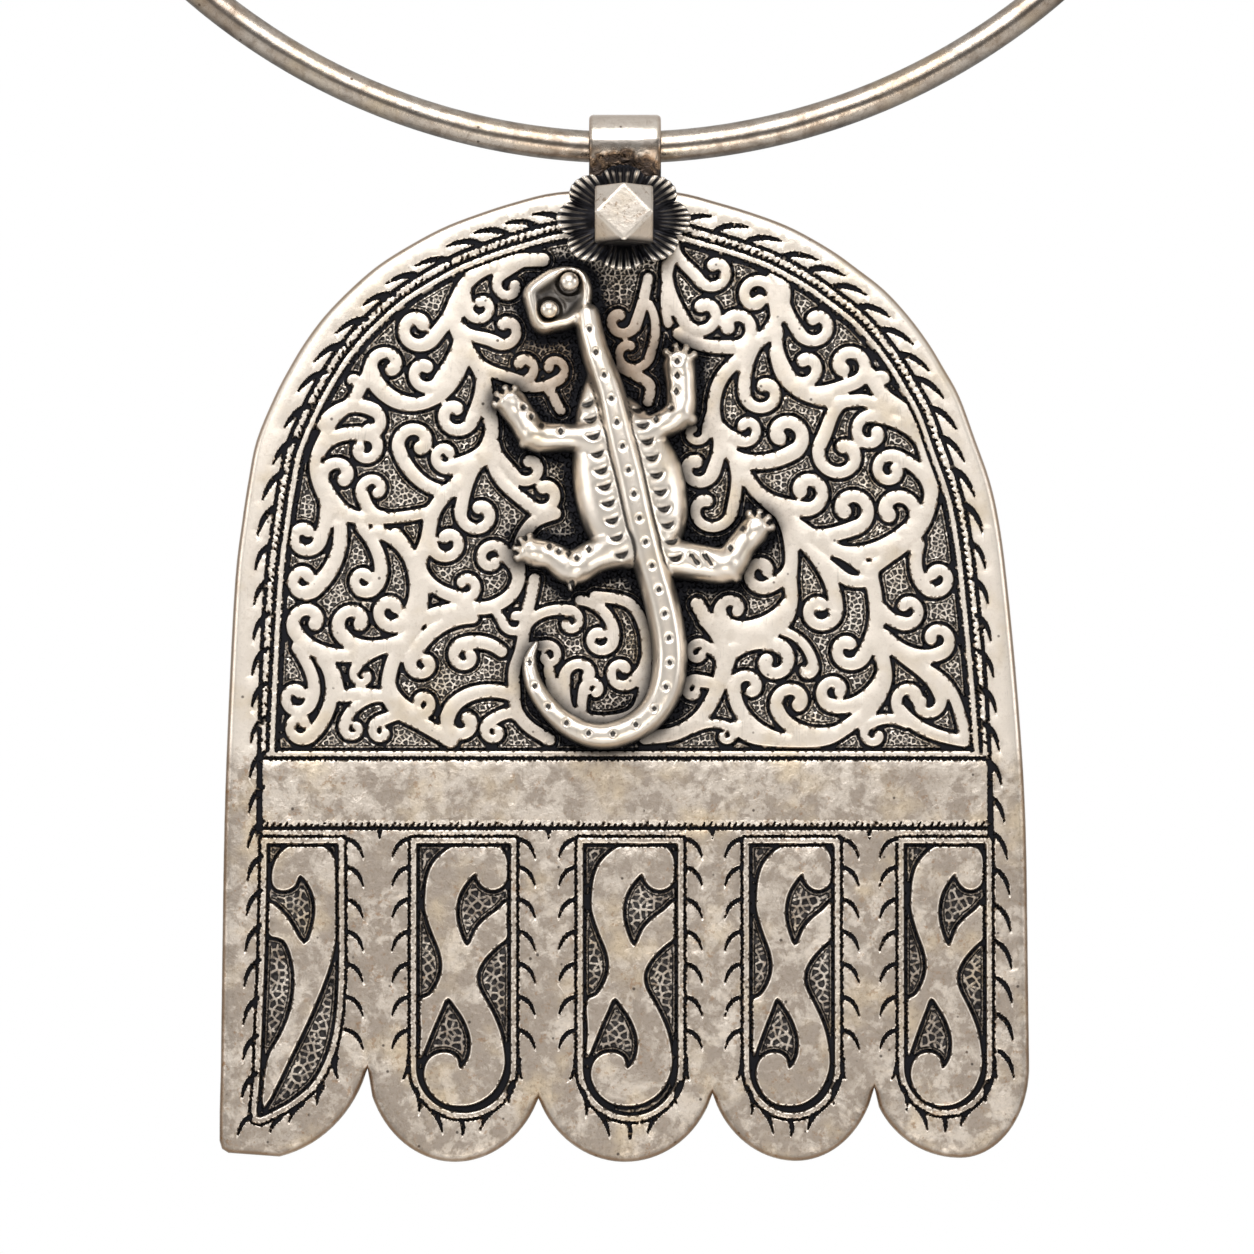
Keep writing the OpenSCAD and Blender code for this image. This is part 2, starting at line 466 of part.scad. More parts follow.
module plate_blank() {
  skin([inner(0.75, face_y), inner(0.25, face_y + 0.2), inner(0, 0), inner(0.05, plate_t / 2 - 0.3),
    inner(0.4, plate_t / 2)]);
}

module hand_plate() {
  color(silver)
    difference() {
      union() {
        difference() {
          plate_blank();
          palm_ground();
        }
        palm_stems();
      }
      edge_groove(3.3, 3.6, -27.3);
      finger_grounds();
      band_lines();
      holes();
    }
}

// The rigid round-wire neck ring, open under the clasp barrel
module neck_ring() {
  color(silver)
    translate([0, 0, ring_z])
      rotate([90, 0, 0])
        rotate([0, 0, 90 + ring_gap / 2])
          rotate_extrude(angle = 360 - ring_gap, $fn = 180)
            translate([ring_r, 0])
              circle(r = wire_r, $fn = 32);
}

// The clasp barrel that holds both ends of the wire at the nape
module ring_clasp() {
  color(dark_silver)
    translate([0, 0, ring_z])
      rotate([90, 0, 0])
        rotate([0, 0, 90 - barrel_sweep / 2])
          rotate_extrude(angle = barrel_sweep, $fn = 180)
            translate([ring_r, 0])
              difference() {
                circle(r = barrel_r, $fn = 32);
                circle(r = wire_r + fit, $fn = 32);
              }
}

// The strap bail: one loop round the wire whose two legs clasp the head of the plate
bail_leg = 9.7;
leg_y = plate_t / 2 + fit;
bail_or = bail_bore_r + strap_t;
module bail_profile() {
  difference() {
    union() {
      circle(r = bail_or, $fn = 48);
      polygon([[-bail_or, 0], [-leg_y - strap_t, -3.6], [-leg_y - strap_t, -bail_leg],
        [leg_y + strap_t, -bail_leg], [leg_y + strap_t, -3.6], [bail_or, 0]]);
    }
    circle(r = bail_bore_r, $fn = 48);
    polygon([[-bail_bore_r, 0], [-leg_y, -3.6], [-leg_y, -bail_leg - 1],
      [leg_y, -bail_leg - 1], [leg_y, -3.6], [bail_bore_r, 0]]);
  }
}
module bail() {
  color(silver)
    difference() {
      translate([0, 0, wire_z])
        rotate([90, 0, 90])
          translate([0, 0, -bail_w / 2])
            linear_extrude(height = bail_w) bail_profile();
      translate([boss_at[0], -5, foot_z + boss_at[1]])
        rotate([-90, 0, 0])
          cylinder(h = 10, r = 1.15, $fn = 24);
    }
}

// The crimped rosette: a dish of eight lobes whose rim curls forward
rosette_y = -leg_y - strap_t - fit;
rosette_at = [-0.2, 52.9];
function lobe_wave(t) = 1 - 0.13 * pow(abs(sin(4 * t)), 1.6);
function crimp(t, f) = 0.22 * f * f * cos(24 * t);
function rosette_ring(f, y, c) = [for (i = [0:47]) let (t = i * 7.5, q = 1 + (lobe_wave(t) - 1) * f)
  [rosette_at[0] + rosette_rx * f * q * cos(t), rosette_y + y + c * crimp(t, f),
  foot_z + rosette_at[1] + rosette_rz * f * q * sin(t)]];
module rosette() {
  color(silver)
    difference() {
      skin([rosette_ring(0.10, -0.6, 0), rosette_ring(0.5, -0.65, 0.2), rosette_ring(0.76, -1.1, 0.6),
        rosette_ring(0.93, -1.7, 0.6), rosette_ring(1.0, -1.5, 0.6), rosette_ring(0.97, -1.1, 0.6),
        rosette_ring(0.8, -0.35, 0.4), rosette_ring(0.5, 0, 0), rosette_ring(0.10, 0, 0)]);
      translate([boss_at[0], -9, foot_z + boss_at[1]])
        rotate([-90, 0, 0])
          cylinder(h = 10, r = 1.15, $fn = 24);
    }
}

// The faceted boss: a cube with its corners cut to the middles of its edges, on a riveted shank
boss_h = boss_w / 2;
boss_y = rosette_y - 0.6 - fit - boss_h;
module boss() {
  v = [for (a = [-1, 1]) for (b = [-1, 1]) each [[a, b, 0], [a, 0, b], [0, a, b]]];
  color(silver)
    translate([boss_at[0], 0, foot_z + boss_at[1]]) {
      translate([0, boss_y, 0])
        hull()
          polyhedron(points = boss_h * v, faces = [[0, 3, 6], [1, 4, 7], [2, 5, 8], [9, 10, 11]]);
      translate([0, boss_y + boss_h - 0.3, 0])
        rotate([-90, 0, 0])
          cylinder(h = leg_y + strap_t + 0.6 - boss_y - boss_h + 0.3, r = 1.1, $fn = 24);
      translate([0, leg_y + strap_t + fit, 0])
        rotate([-90, 0, 0])
          cylinder(h = 0.7, r1 = 1.9, r2 = 1.4, $fn = 32);
    }
}

// The lizard: back and tail as rows of across, up, half width and height; then its legs
spine = [
  [-3.6, 43.0, 1.1, 2.6], [-3.4, 41.6, 1.15, 3.3], [-2.7, 38.9, 1.25, 4.2], [-1.5, 35.5, 1.3, 4.4],
  [-0.5, 31.0, 1.3, 4.5], [0.5, 27.0, 1.35, 4.5], [1.6, 22.5, 1.4, 4.4], [2.9, 18.0, 1.5, 4.1],
  [3.9, 14.0, 1.6, 3.8], [4.5, 10.0, 1.65, 3.5], [4.2, 6.5, 1.65, 3.3], [3.0, 4.0, 1.5, 3.1],
  [0.9, 2.2, 1.35, 2.9], [-2.0, 1.3, 1.25, 2.7], [-4.8, 1.9, 1.15, 2.5], [-7.3, 3.8, 1.05, 2.2],
  [-9.0, 6.3, 0.9, 1.9], [-9.5, 8.8, 0.65, 1.6], [-8.7, 10.6, 0.25, 1.0]
];
// The trunk: left edge across and up, right edge across and up, height
trunk = [
  [-4.0, 38.0, -1.8, 38.0, 1.2], [-4.4, 34.0, 0.4, 33.6, 2.0], [-5.0, 30.8, 3.3, 30.3, 3.0],
  [-5.1, 27.0, 5.5, 28.2, 3.5], [-4.7, 23.5, 6.3, 24.5, 3.6], [-3.6, 20.6, 6.0, 20.5, 3.4],
  [-1.6, 18.3, 4.8, 17.5, 2.8], [1.2, 15.6, 4.4, 15.2, 1.6]
];
// Each leg: rows of across, up, half width and height, from the trunk to the wrist
legs = [
  [[-2.5, 31.0, 1.5, 2.6], [-6.0, 32.0, 1.5, 2.4], [-9.4, 31.6, 1.55, 2.3], [-11.0, 33.2, 1.5, 2.1],
    [-11.9, 35.0, 1.4, 1.8]],
  [[1.5, 31.2, 1.5, 2.6], [3.8, 32.6, 1.45, 2.4], [5.9, 33.9, 1.5, 2.3], [6.0, 36.5, 1.35, 2.1],
    [5.5, 39.3, 1.6, 1.8]],
  [[1.0, 19.6, 1.9, 2.7], [-2.2, 18.6, 1.8, 2.5], [-4.8, 17.0, 1.7, 2.4], [-6.8, 18.0, 1.4, 2.1],
    [-8.6, 19.3, 1.5, 1.8]],
  [[4.0, 18.6, 1.9, 2.7], [7.3, 17.9, 1.8, 2.5], [10.3, 17.4, 1.7, 2.4], [11.9, 19.4, 1.45, 2.1],
    [13.0, 21.2, 1.6, 1.8]]
];
// Toes: across, up and radius
toes = [
  [-12.9, 35.2, 0.5], [-12.6, 36.6, 0.5], [-11.6, 37.0, 0.5], [-10.5, 36.0, 0.5],
  [4.1, 40.0, 0.45], [4.7, 40.5, 0.45], [5.7, 40.6, 0.45], [6.7, 40.2, 0.45],
  [-9.6, 18.6, 0.5], [-10.1, 19.8, 0.5], [-9.5, 20.9, 0.5], [-8.3, 20.9, 0.45],
  [12.2, 23.0, 0.5], [13.3, 23.6, 0.5], [14.3, 22.9, 0.5], [14.6, 21.7, 0.45]
];
base_y = face_y - fit;
head_at = [-6.6, 44.6];
dome_n = 6;
function dome_row(a, b, h) = [for (i = [0:dome_n]) let (t = 180 * i / dome_n,
  p = (a + b) / 2 + (a - b) / 2 * cos(t)) [p[0], base_y - h * pow(sin(t), 0.8), foot_z + p[1]]];
module ribbed(r, h1, n) {
  p = smooth([for (q = r) [q[0], q[1]]], n);
  w = smooth([for (q = r) [q[2], q[3]]], n);
  skin([for (i = [0:len(p) - 1]) dome_row(side_of(p, i, -w[i][0]), side_of(p, i, w[i][0]),
    w[i][1] * h1)]);
}
module trunk_form() {
  t = smooth(trunk, 2);
  skin([for (r = t) dome_row([r[0], r[1]], [r[2], r[3]], r[4] * lizard_h / 3.6)]);
}
module head() {
  translate([head_at[0], base_y, foot_z + head_at[1]])
    rotate([90, 0, 0]) {
      difference() {
        scale([1, 1, 0.75])
          rotate([0, 0, 40])
            scale([4.1, 3.6, 3.4])
              intersection() {
                sphere(r = 1, $fn = 20);
                translate([-2, -2, 0])
                  cube(4);
              }
        translate([0, 0, 4.6])
          rotate([0, 0, 40])
            scale([3.3, 2.9, 3.2])
              sphere(r = 1, $fn = 16);
      }
      for (e = [[1.1, 2.2, 1.05], [-1.0, -0.6, 1.0]])
        translate([e[0], e[1], 1.8])
          sphere(r = e[2], $fn = 10);
    }
}
module lizard() {
  color(silver)
    union() {
      ribbed(spine, lizard_h / 3.6, 2);
      trunk_form();
      for (g = legs) ribbed(g, 1, 2);
      for (t = toes)
        hull() {
          translate([t[0], base_y - 0.75, foot_z + t[1]])
            sphere(r = t[2], $fn = 6);
          translate([t[0], base_y - 0.02, foot_z + t[1]])
            cube([t[2] * 1.4, 0.04, t[2] * 1.4], center = true);
          k = [for (g = legs) if (norm([g[4][0], g[4][1]] - [t[0], t[1]]) < 4) g[4]][0];
          translate([k[0], base_y - 0.8, foot_z + k[1]])
            sphere(r = 0.7, $fn = 6);
        }
      head();
      for (q = lizard_pegs)
        translate([q[0], base_y - 0.4, foot_z + q[1]])
          rotate([-90, 0, 0])
            cylinder(h = plate_t + fit + 0.4, r = 1.0, $fn = 24);
    }
}

neck_ring();
ring_clasp();
hand_plate();
bail();
rosette();
boss();
lizard();
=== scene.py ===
import json
import math

import bpy
import numpy as np
from bpy.props import FloatProperty, FloatVectorProperty, PointerProperty
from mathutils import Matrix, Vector
from mathutils.geometry import delaunay_2d_cdt

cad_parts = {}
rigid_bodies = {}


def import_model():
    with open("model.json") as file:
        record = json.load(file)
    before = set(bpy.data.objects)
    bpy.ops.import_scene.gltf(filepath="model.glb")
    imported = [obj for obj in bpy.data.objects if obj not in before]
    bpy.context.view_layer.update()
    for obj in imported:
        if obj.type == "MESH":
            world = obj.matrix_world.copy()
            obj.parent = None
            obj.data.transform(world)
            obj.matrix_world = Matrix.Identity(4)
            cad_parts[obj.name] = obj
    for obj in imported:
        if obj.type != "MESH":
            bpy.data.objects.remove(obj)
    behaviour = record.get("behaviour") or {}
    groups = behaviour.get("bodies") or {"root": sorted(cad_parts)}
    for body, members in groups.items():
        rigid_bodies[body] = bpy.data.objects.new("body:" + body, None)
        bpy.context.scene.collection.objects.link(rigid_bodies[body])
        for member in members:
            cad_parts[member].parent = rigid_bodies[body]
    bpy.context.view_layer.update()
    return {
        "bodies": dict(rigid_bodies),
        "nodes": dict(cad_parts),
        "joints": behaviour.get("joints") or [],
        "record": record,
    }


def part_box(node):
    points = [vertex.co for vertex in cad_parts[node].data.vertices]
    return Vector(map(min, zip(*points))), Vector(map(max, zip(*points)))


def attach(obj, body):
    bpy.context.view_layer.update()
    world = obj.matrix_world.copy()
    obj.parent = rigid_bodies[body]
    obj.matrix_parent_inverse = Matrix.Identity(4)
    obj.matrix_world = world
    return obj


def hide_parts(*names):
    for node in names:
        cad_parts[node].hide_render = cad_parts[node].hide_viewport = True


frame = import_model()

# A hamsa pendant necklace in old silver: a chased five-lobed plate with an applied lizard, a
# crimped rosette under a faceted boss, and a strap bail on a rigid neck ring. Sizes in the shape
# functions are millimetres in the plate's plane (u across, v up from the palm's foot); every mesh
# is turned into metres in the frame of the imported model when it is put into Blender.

bl_info = {
    "name": "Hamsa pendant necklace",
    "version": (1, 0, 0),
    "blender": (4, 5, 0),
    "location": "3D View > Sidebar > Hamsa",
    "description": "Builds the dressed hamsa pendant necklace over its packed frame",
    "category": "Add Mesh",
}


def node_box(name):
    """A node's lowest and highest corners in millimetres."""
    low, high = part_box(name)
    return np.array(low) * 1000, np.array(high) * 1000


PLATE_LOW, PLATE_HIGH = node_box("hand_plate")
RING_LOW, RING_HIGH = node_box("neck_ring")
BAIL_LOW, BAIL_HIGH = node_box("bail")
ROSETTE_LOW, ROSETTE_HIGH = node_box("rosette")
BOSS_LOW, BOSS_HIGH = node_box("boss")
CLASP_R = node_box("ring_clasp")[1][1]

MM = 0.001
FOOT = PLATE_HIGH[2] - 56.2          # height of the palm's foot line
FACE = PLATE_LOW[1]                  # the plate's front face
BACK = PLATE_HIGH[1]                 # and its back
WIRE_R = (RING_HIGH[1] - RING_LOW[1]) / 2
WIRE_Z = RING_LOW[2] + WIRE_R        # the wire's middle at the lowest place of the ring
WIRE_LEVEL = WIRE_Z * MM
RING_R = (RING_HIGH[0] - RING_LOW[0]) / 2 - WIRE_R
RING_Z = WIRE_Z + RING_R
LIZARD_TOP = 3.6                     # height of the lizard's back over the plate

# The plate's outline, from the top down: height above the palm's foot, half width left and right
SIDES = [
    [56.2, 0, 0], [55.9, 6.7, 5.2], [54.9, 11, 9.2], [53.6, 15, 13.4], [52.2, 18.5, 16.9],
    [50.1, 22.3, 20.6], [48.3, 25, 23.1], [46.1, 27.5, 25.9], [43.5, 30, 28.3], [40.8, 32, 30.3],
    [38.3, 33.5, 31.8], [35.4, 35, 33.4], [31, 36.8, 35.0], [27, 37.6, 36.4], [23, 38.2, 37.3],
    [17, 38.9, 38.1], [5, 39.5, 39.2], [-7, 39.9, 39.9], [-22, 40.1, 40.1], [-32, 40.2, 40.2],
]
# The plate's low left corner, beside the first lobe
CORNER = [[-40.3, -36.0], [-40.3, -38.9], [-40.05, -39.7], [-39.4, -40.1]]
# The five lobes: middle, level of the widest place, half width left and right, drop below that.
# The first one's left side is the corner.
LOBES = [
    [-37.0, -28.0, 3.3, 11.9, 12.8],
    [-16.9, -30.5, 8.9, 9.05, 10.5],
    [0.0, -31.0, 9.25, 9.2, 10.0],
    [17.0, -30.9, 8.8, 8.1, 10.0],
    [33.3, -31.5, 9.0, 6.9, 9.1],
]
# The notches between the lobes: across, up
NOTCHES = [[-25.6, -31.7], [-8.6, -34.7], [8.7, -34.2], [24.8, -33.6]]
# Scroll arms of the palm: root across, root up, aim at the root, curl middle across, curl middle
# up, outer radius of the curl, direction of the tip from that middle, turn of the curl, width
ARMS = [
    [-28.4, 22.5, -85, -31.9, 16.9, 2.1, 20, -290, 1.7],
    [-26.3, 22.2, -45, -25.9, 16.9, 1.9, 30, -280, 1.5],
    [-22.9, 21.5, -48, -23.2, 13.8, 2.3, 20, -290, 1.6],
    [-26.5, 9.4, 185, -31.5, 12.6, 2.4, -30, -240, 1.6],
    [-22.3, 10.9, 205, -27.0, 12.5, 2.4, -20, -230, 1.6],
    [-32.7, 10.2, -55, -32.6, 5.2, 2.1, 30, -300, 1.4],
    [-30.2, 9.0, -50, -32.2, 2.3, 2.0, 30, -280, 1.5],
    [-23.6, 5.3, 175, -27.1, 2.2, 1.5, 60, 250, 1.2],
    [-21.8, 3.5, 175, -24.2, 1.9, 1.6, -10, 240, 1.3],
    [-23.5, 7.0, -85, -20.3, 4.6, 1.7, 170, 280, 1.4],
    [-15.2, 13.2, 180, -20.2, 8.7, 2.0, 60, 270, 1.6],
    [-23.3, 10.2, 195, -26.1, 7.5, 1.5, 20, 230, 1.1],
    [-12.3, 9.8, 140, -15.9, 9.4, 1.9, 40, 290, 1.5],
    [-11.2, 5.4, 155, -16.2, 2.9, 2.3, 50, 245, 1.6],
    [-10.4, 3.4, 150, -13.0, 1.9, 1.6, 30, 260, 1.3],
    [-20.3, 18.0, -70, -16.0, 16.3, 1.9, 150, 250, 1.4],
    [-12.9, 14.2, -85, -11.0, 12.9, 1.7, 110, 270, 1.1],
    [-9.9, 12.2, 60, -5.6, 12.8, 1.7, 200, -240, 1.2],
    [-4.5, 14.9, 0, -2.4, 11.1, 1.9, 60, -280, 1.3],
    [2.0, 8.8, -95, -0.2, 7.7, 2.0, 30, -290, 1.3],
    [-4.2, 3.6, 105, -3.2, 5.9, 1.5, -80, -250, 1.2],
    [-5.4, 3.6, 120, -4.3, 7.1, 2.4, -10, -190, 1.3],
    [-10.2, 9.8, 55, -7.7, 9.4, 1.6, 180, -280, 1.1],
    [16.5, 18.5, -100, 13.7, 17.6, 2.2, 0, -290, 1.5],
    [16.2, 14.6, 240, 10.7, 13.8, 2.0, -20, -220, 1.5],
    [9.8, 8.0, 95, 7.3, 9.7, 1.5, 10, 310, 1.1],
    [9.2, 6.2, 130, 6.9, 6.0, 1.6, -30, 250, 1.4],
    [17.0, 0.9, 182, 12.2, 6.1, 2.1, -60, -240, 1.5],
    [9.9, 8.3, 75, 14.7, 8.9, 2.4, 150, -270, 1.6],
    [15.8, 11.8, -15, 18.1, 8.1, 1.3, 170, -200, 1.1],
    [21.5, 1.9, 200, 16.7, 4.6, 2.4, -40, -240, 1.5],
    [6.8, 2.0, 30, 10.0, 1.5, 1.3, 170, -250, 1.0],
    [18.4, 20.0, -50, 19.5, 13.9, 2.3, 50, -310, 1.5],
    [25.0, 13.5, -92, 22.4, 10.0, 2.3, 60, -270, 1.6],
    [25.9, 8.5, -95, 20.9, 5.7, 2.1, -20, -270, 1.5],
    [25.6, 14.0, -60, 28.0, 13.9, 2.1, 140, 240, 1.5],
    [25.9, 11.4, -50, 31.0, 10.9, 2.1, 190, 250, 1.5],
    [33.8, 0.8, 170, 28.5, 4.9, 2.2, 10, -210, 1.4],
    [26.6, 10.2, -45, 30.0, 4.9, 2.2, 170, -210, 1.4],
    [28.0, 2.6, 150, 24.9, 1.6, 1.7, 0, 240, 1.2],
    [29.3, 20.5, -110, 31.0, 17.1, 2.1, 160, 290, 1.5],
    [-29.9, 25.5, -82, -31.8, 21.3, 2.2, 40, -300, 1.5],
    [-26.3, 23.2, 180, -28.6, 27.2, 2.4, -50, -260, 1.5],
    [-24.2, 23.3, 180, -25.1, 25.9, 1.9, -60, -260, 1.4],
    [-30.4, 29.8, 65, -26.0, 30.2, 2.1, 150, -290, 1.5],
    [-30.2, 32.5, 60, -25.9, 32.4, 2.5, -60, -120, 1.5],
    [-17.2, 25.8, 185, -20.9, 30.5, 2.5, -60, -260, 1.5],
    [-13.6, 31.0, -100, -17.8, 29.3, 1.9, 20, -270, 1.5],
    [-14.3, 36.8, -90, -16.8, 33.5, 2.4, 60, -280, 1.5],
    [-14.9, 28.3, -120, -14.7, 23.6, 2.4, 110, 300, 1.4],
    [-19.3, 24.0, -105, -17.8, 20.7, 2.2, 140, 300, 1.4],
    [-10.7, 17.2, 92, -13.2, 19.1, 2.0, -30, 300, 1.4],
    [-13.0, 30.5, -85, -9.8, 28.3, 2.2, 90, 235, 1.3],
    [-13.3, 29.3, -88, -8.3, 25.6, 2.4, 100, 230, 1.4],
    [-15.2, 39.3, -55, -10.3, 38.2, 2.0, 150, 260, 1.3],
    [-10.2, 36.2, -5, -7.2, 38.0, 1.8, 180, 240, 1.2],
    [-16.4, 42.2, -55, -12.1, 42.0, 2.2, 120, 240, 1.4],
    [-15.5, 47.5, -120, -14.5, 44.3, 1.9, 120, 290, 1.3],
    [-8.5, 49.2, 180, -11.5, 46.5, 2.0, 20, 260, 1.3],
    [-17.0, 44.8, -105, -20.6, 42.1, 2.5, 20, -300, 1.6],
    [-16.5, 41.2, -95, -19.8, 37.7, 2.3, 60, -270, 1.5],
    [-20.8, 34.6, 180, -23.8, 38.3, 2.3, -60, -260, 1.5],
    [-28.6, 33.9, 35, -27.2, 36.7, 1.1, 180, 200, 0.9],
    [9.0, 35.2, -95, 7.1, 31.8, 1.6, 110, -250, 1.1],
    [9.3, 31.5, -75, 7.3, 28.2, 2.3, 80, -260, 1.5],
    [10.8, 28.8, -70, 8.5, 24.2, 2.9, 90, -260, 1.3],
    [9.6, 32.2, -55, 12.0, 32.0, 1.9, 150, 270, 1.3],
    [13.2, 40.6, -125, 13.7, 35.8, 2.5, 110, 290, 1.4],
    [11.0, 29.2, -25, 16.0, 31.3, 2.6, 220, 280, 1.7],
    [13.2, 25.8, -45, 18.1, 25.7, 2.5, 200, 300, 1.6],
    [17.3, 21.9, -30, 22.5, 23.9, 2.6, 220, 290, 1.6],
    [20.5, 20.0, -20, 27.0, 23.6, 2.9, 220, 270, 1.6],
    [30.4, 25.6, 95, 26.5, 28.0, 2.1, 40, 330, 1.4],
    [29.9, 30.0, 110, 24.6, 31.8, 2.3, 20, 300, 1.4],
    [22.3, 34.9, 190, 21.5, 29.6, 3.0, 100, 310, 1.5],
    [4.9, 50.5, -85, 8.8, 47.9, 2.3, 120, 265, 1.3],
    [15.0, 42.0, 80, 13.2, 45.4, 2.3, -30, 320, 1.4],
    [4.2, 48.5, -95, 7.6, 43.7, 2.6, 120, 270, 1.4],
    [5.3, 41.6, -40, 10.9, 42.1, 2.6, 200, 290, 1.5],
    [2.3, 47.2, -100, -0.3, 43.0, 2.1, 90, -250, 1.3],
    [2.4, 44.6, -60, 0.7, 39.8, 2.4, 80, -260, 1.1],
    [15.6, 46.2, -85, 18.9, 42.5, 2.4, 130, 275, 1.4],
    [15.3, 41.8, -105, 17.8, 38.3, 2.4, 120, 270, 1.4],
    [17.3, 36.0, -20, 22.3, 38.3, 2.5, 240, 310, 1.5],
    [28.0, 34.0, 160, 25.7, 36.8, 1.4, 0, -200, 1.0],
]
# The stems that carry the arms. Each one is a width and the points that it passes through
STEMS = [
    [1.5, [[-17.3, 0.9], [-20.3, 2.6], [-22.8, 4.0], [-23.6, 6.0], [-23.2, 8.5], [-22.3, 10.3],
        [-20.8, 12.6], [-20.3, 15.0], [-20.5, 18.5], [-19.7, 21.0], [-19.0, 24.0], [-17.0, 26.4],
        [-14.4, 29.0], [-13.3, 31.5], [-13.6, 34.5], [-14.3, 37.5], [-15.9, 40.3], [-16.9, 42.3],
        [-16.9, 44.5], [-15.9, 46.6], [-14.0, 48.1], [-11.0, 48.9], [-8.2, 49.0]]],
    [1.3, [[-7.5, 1.0], [-9.6, 2.3], [-10.8, 3.9], [-11.0, 6.0], [-11.0, 8.0], [-10.3, 10.2],
        [-9.8, 13.5], [-9.3, 15.5], [-9.0, 17.0]]],
    [1.4, [[-20.6, 12.9], [-18.5, 13.7], [-16.0, 14.1], [-13.5, 14.2], [-11.5, 15.3], [-10.6, 17.0],
        [-10.6, 19.0], [-10.3, 21.0], [-9.0, 22.8], [-7.0, 23.6]]],
    [1.3, [[-30.0, 9.2], [-28.9, 7.4], [-28.3, 5.4], [-26.6, 5.6], [-24.0, 5.3]]],
    [1.2, [[-19.6, 23.7], [-22.5, 23.2], [-26.0, 23.1], [-29.0, 23.8], [-30.6, 26.5], [-30.9, 29.0],
        [-29.9, 31.5], [-28.9, 33.2], [-27.0, 35.0], [-25.6, 37.8]]],
    [1.4, [[-15.9, 39.5], [-16.9, 37.2], [-18.5, 35.4], [-20.8, 34.5], [-23.0, 34.8], [-24.8, 36.2],
        [-25.5, 38.0]]],
    [1.2, [[-7.6, 8.0], [-7.2, 6.0], [-6.0, 4.2], [-4.0, 3.1], [-1.5, 2.9], [0.8, 3.6], [1.8, 5.5],
        [2.2, 9.5], [1.8, 12.5], [0.3, 14.7], [-3.0, 15.3]]],
    [1.5, [[2.0, 1.2], [5.0, 1.6], [7.3, 3.0], [8.7, 5.0], [9.5, 7.0], [9.8, 9.5], [9.3, 11.3],
        [8.2, 12.8], [7.2, 14.5]]],
    [1.4, [[9.9, 7.5], [10.8, 10.0], [12.7, 11.4], [15.0, 12.0], [16.2, 13.3], [16.6, 15.0],
        [16.5, 17.0], [16.6, 19.5], [16.2, 22.0], [15.2, 24.2]]],
    [1.5, [[8.0, 12.9], [10.5, 11.7], [13.0, 11.6], [15.5, 12.3]]],
    [1.5, [[11.2, 2.2], [13.0, 1.2], [17.0, 0.9], [20.0, 1.1], [22.0, 2.2], [23.6, 3.4],
        [25.0, 4.8], [25.9, 7.0], [25.6, 9.5], [25.1, 11.5], [25.1, 13.5], [24.9, 15.5],
        [24.6, 17.8], [25.8, 19.0], [27.6, 20.3], [29.3, 22.0], [30.3, 24.2], [30.6, 26.5],
        [30.2, 29.0], [29.4, 31.5], [28.0, 33.7], [25.8, 35.4], [24.4, 37.5]]],
    [1.4, [[24.6, 17.6], [22.3, 19.3], [19.8, 20.6], [17.5, 22.2], [15.0, 24.0], [12.8, 26.2],
        [11.2, 28.8], [9.9, 30.6], [9.0, 32.8], [8.9, 35.0], [9.8, 37.4], [12.2, 39.8],
        [14.2, 41.6], [15.5, 43.8], [15.9, 46.0], [15.0, 47.5]]],
    [1.3, [[24.2, 16.8], [22.3, 16.9], [20.5, 18.2], [18.4, 20.0], [16.5, 22.0]]],
    [1.0, [[4.3, 42.6], [4.0, 44.5], [4.1, 46.5], [4.5, 48.5], [4.9, 50.4]]],
    [1.3, [[15.0, 39.8], [15.6, 37.6], [17.2, 35.9], [19.4, 35.0], [21.8, 34.8], [24.0, 34.9],
        [26.2, 33.9]]],
    [1.2, [[27.0, 9.9], [29.4, 8.4], [31.7, 6.8], [33.0, 4.7], [33.9, 1.3]]],
    [1.3, [[-24.7, 21.9], [-22.6, 20.6], [-21.2, 18.6], [-20.5, 16.5]]],
    [1.1, [[-7.8, 36.2], [-7.2, 35.4], [-6.8, 34.5], [-6.4, 33.9]]],
    [1.2, [[-0.4, 38.2], [1.3, 37.3], [2.5, 36.4], [2.3, 34.8]]],
]
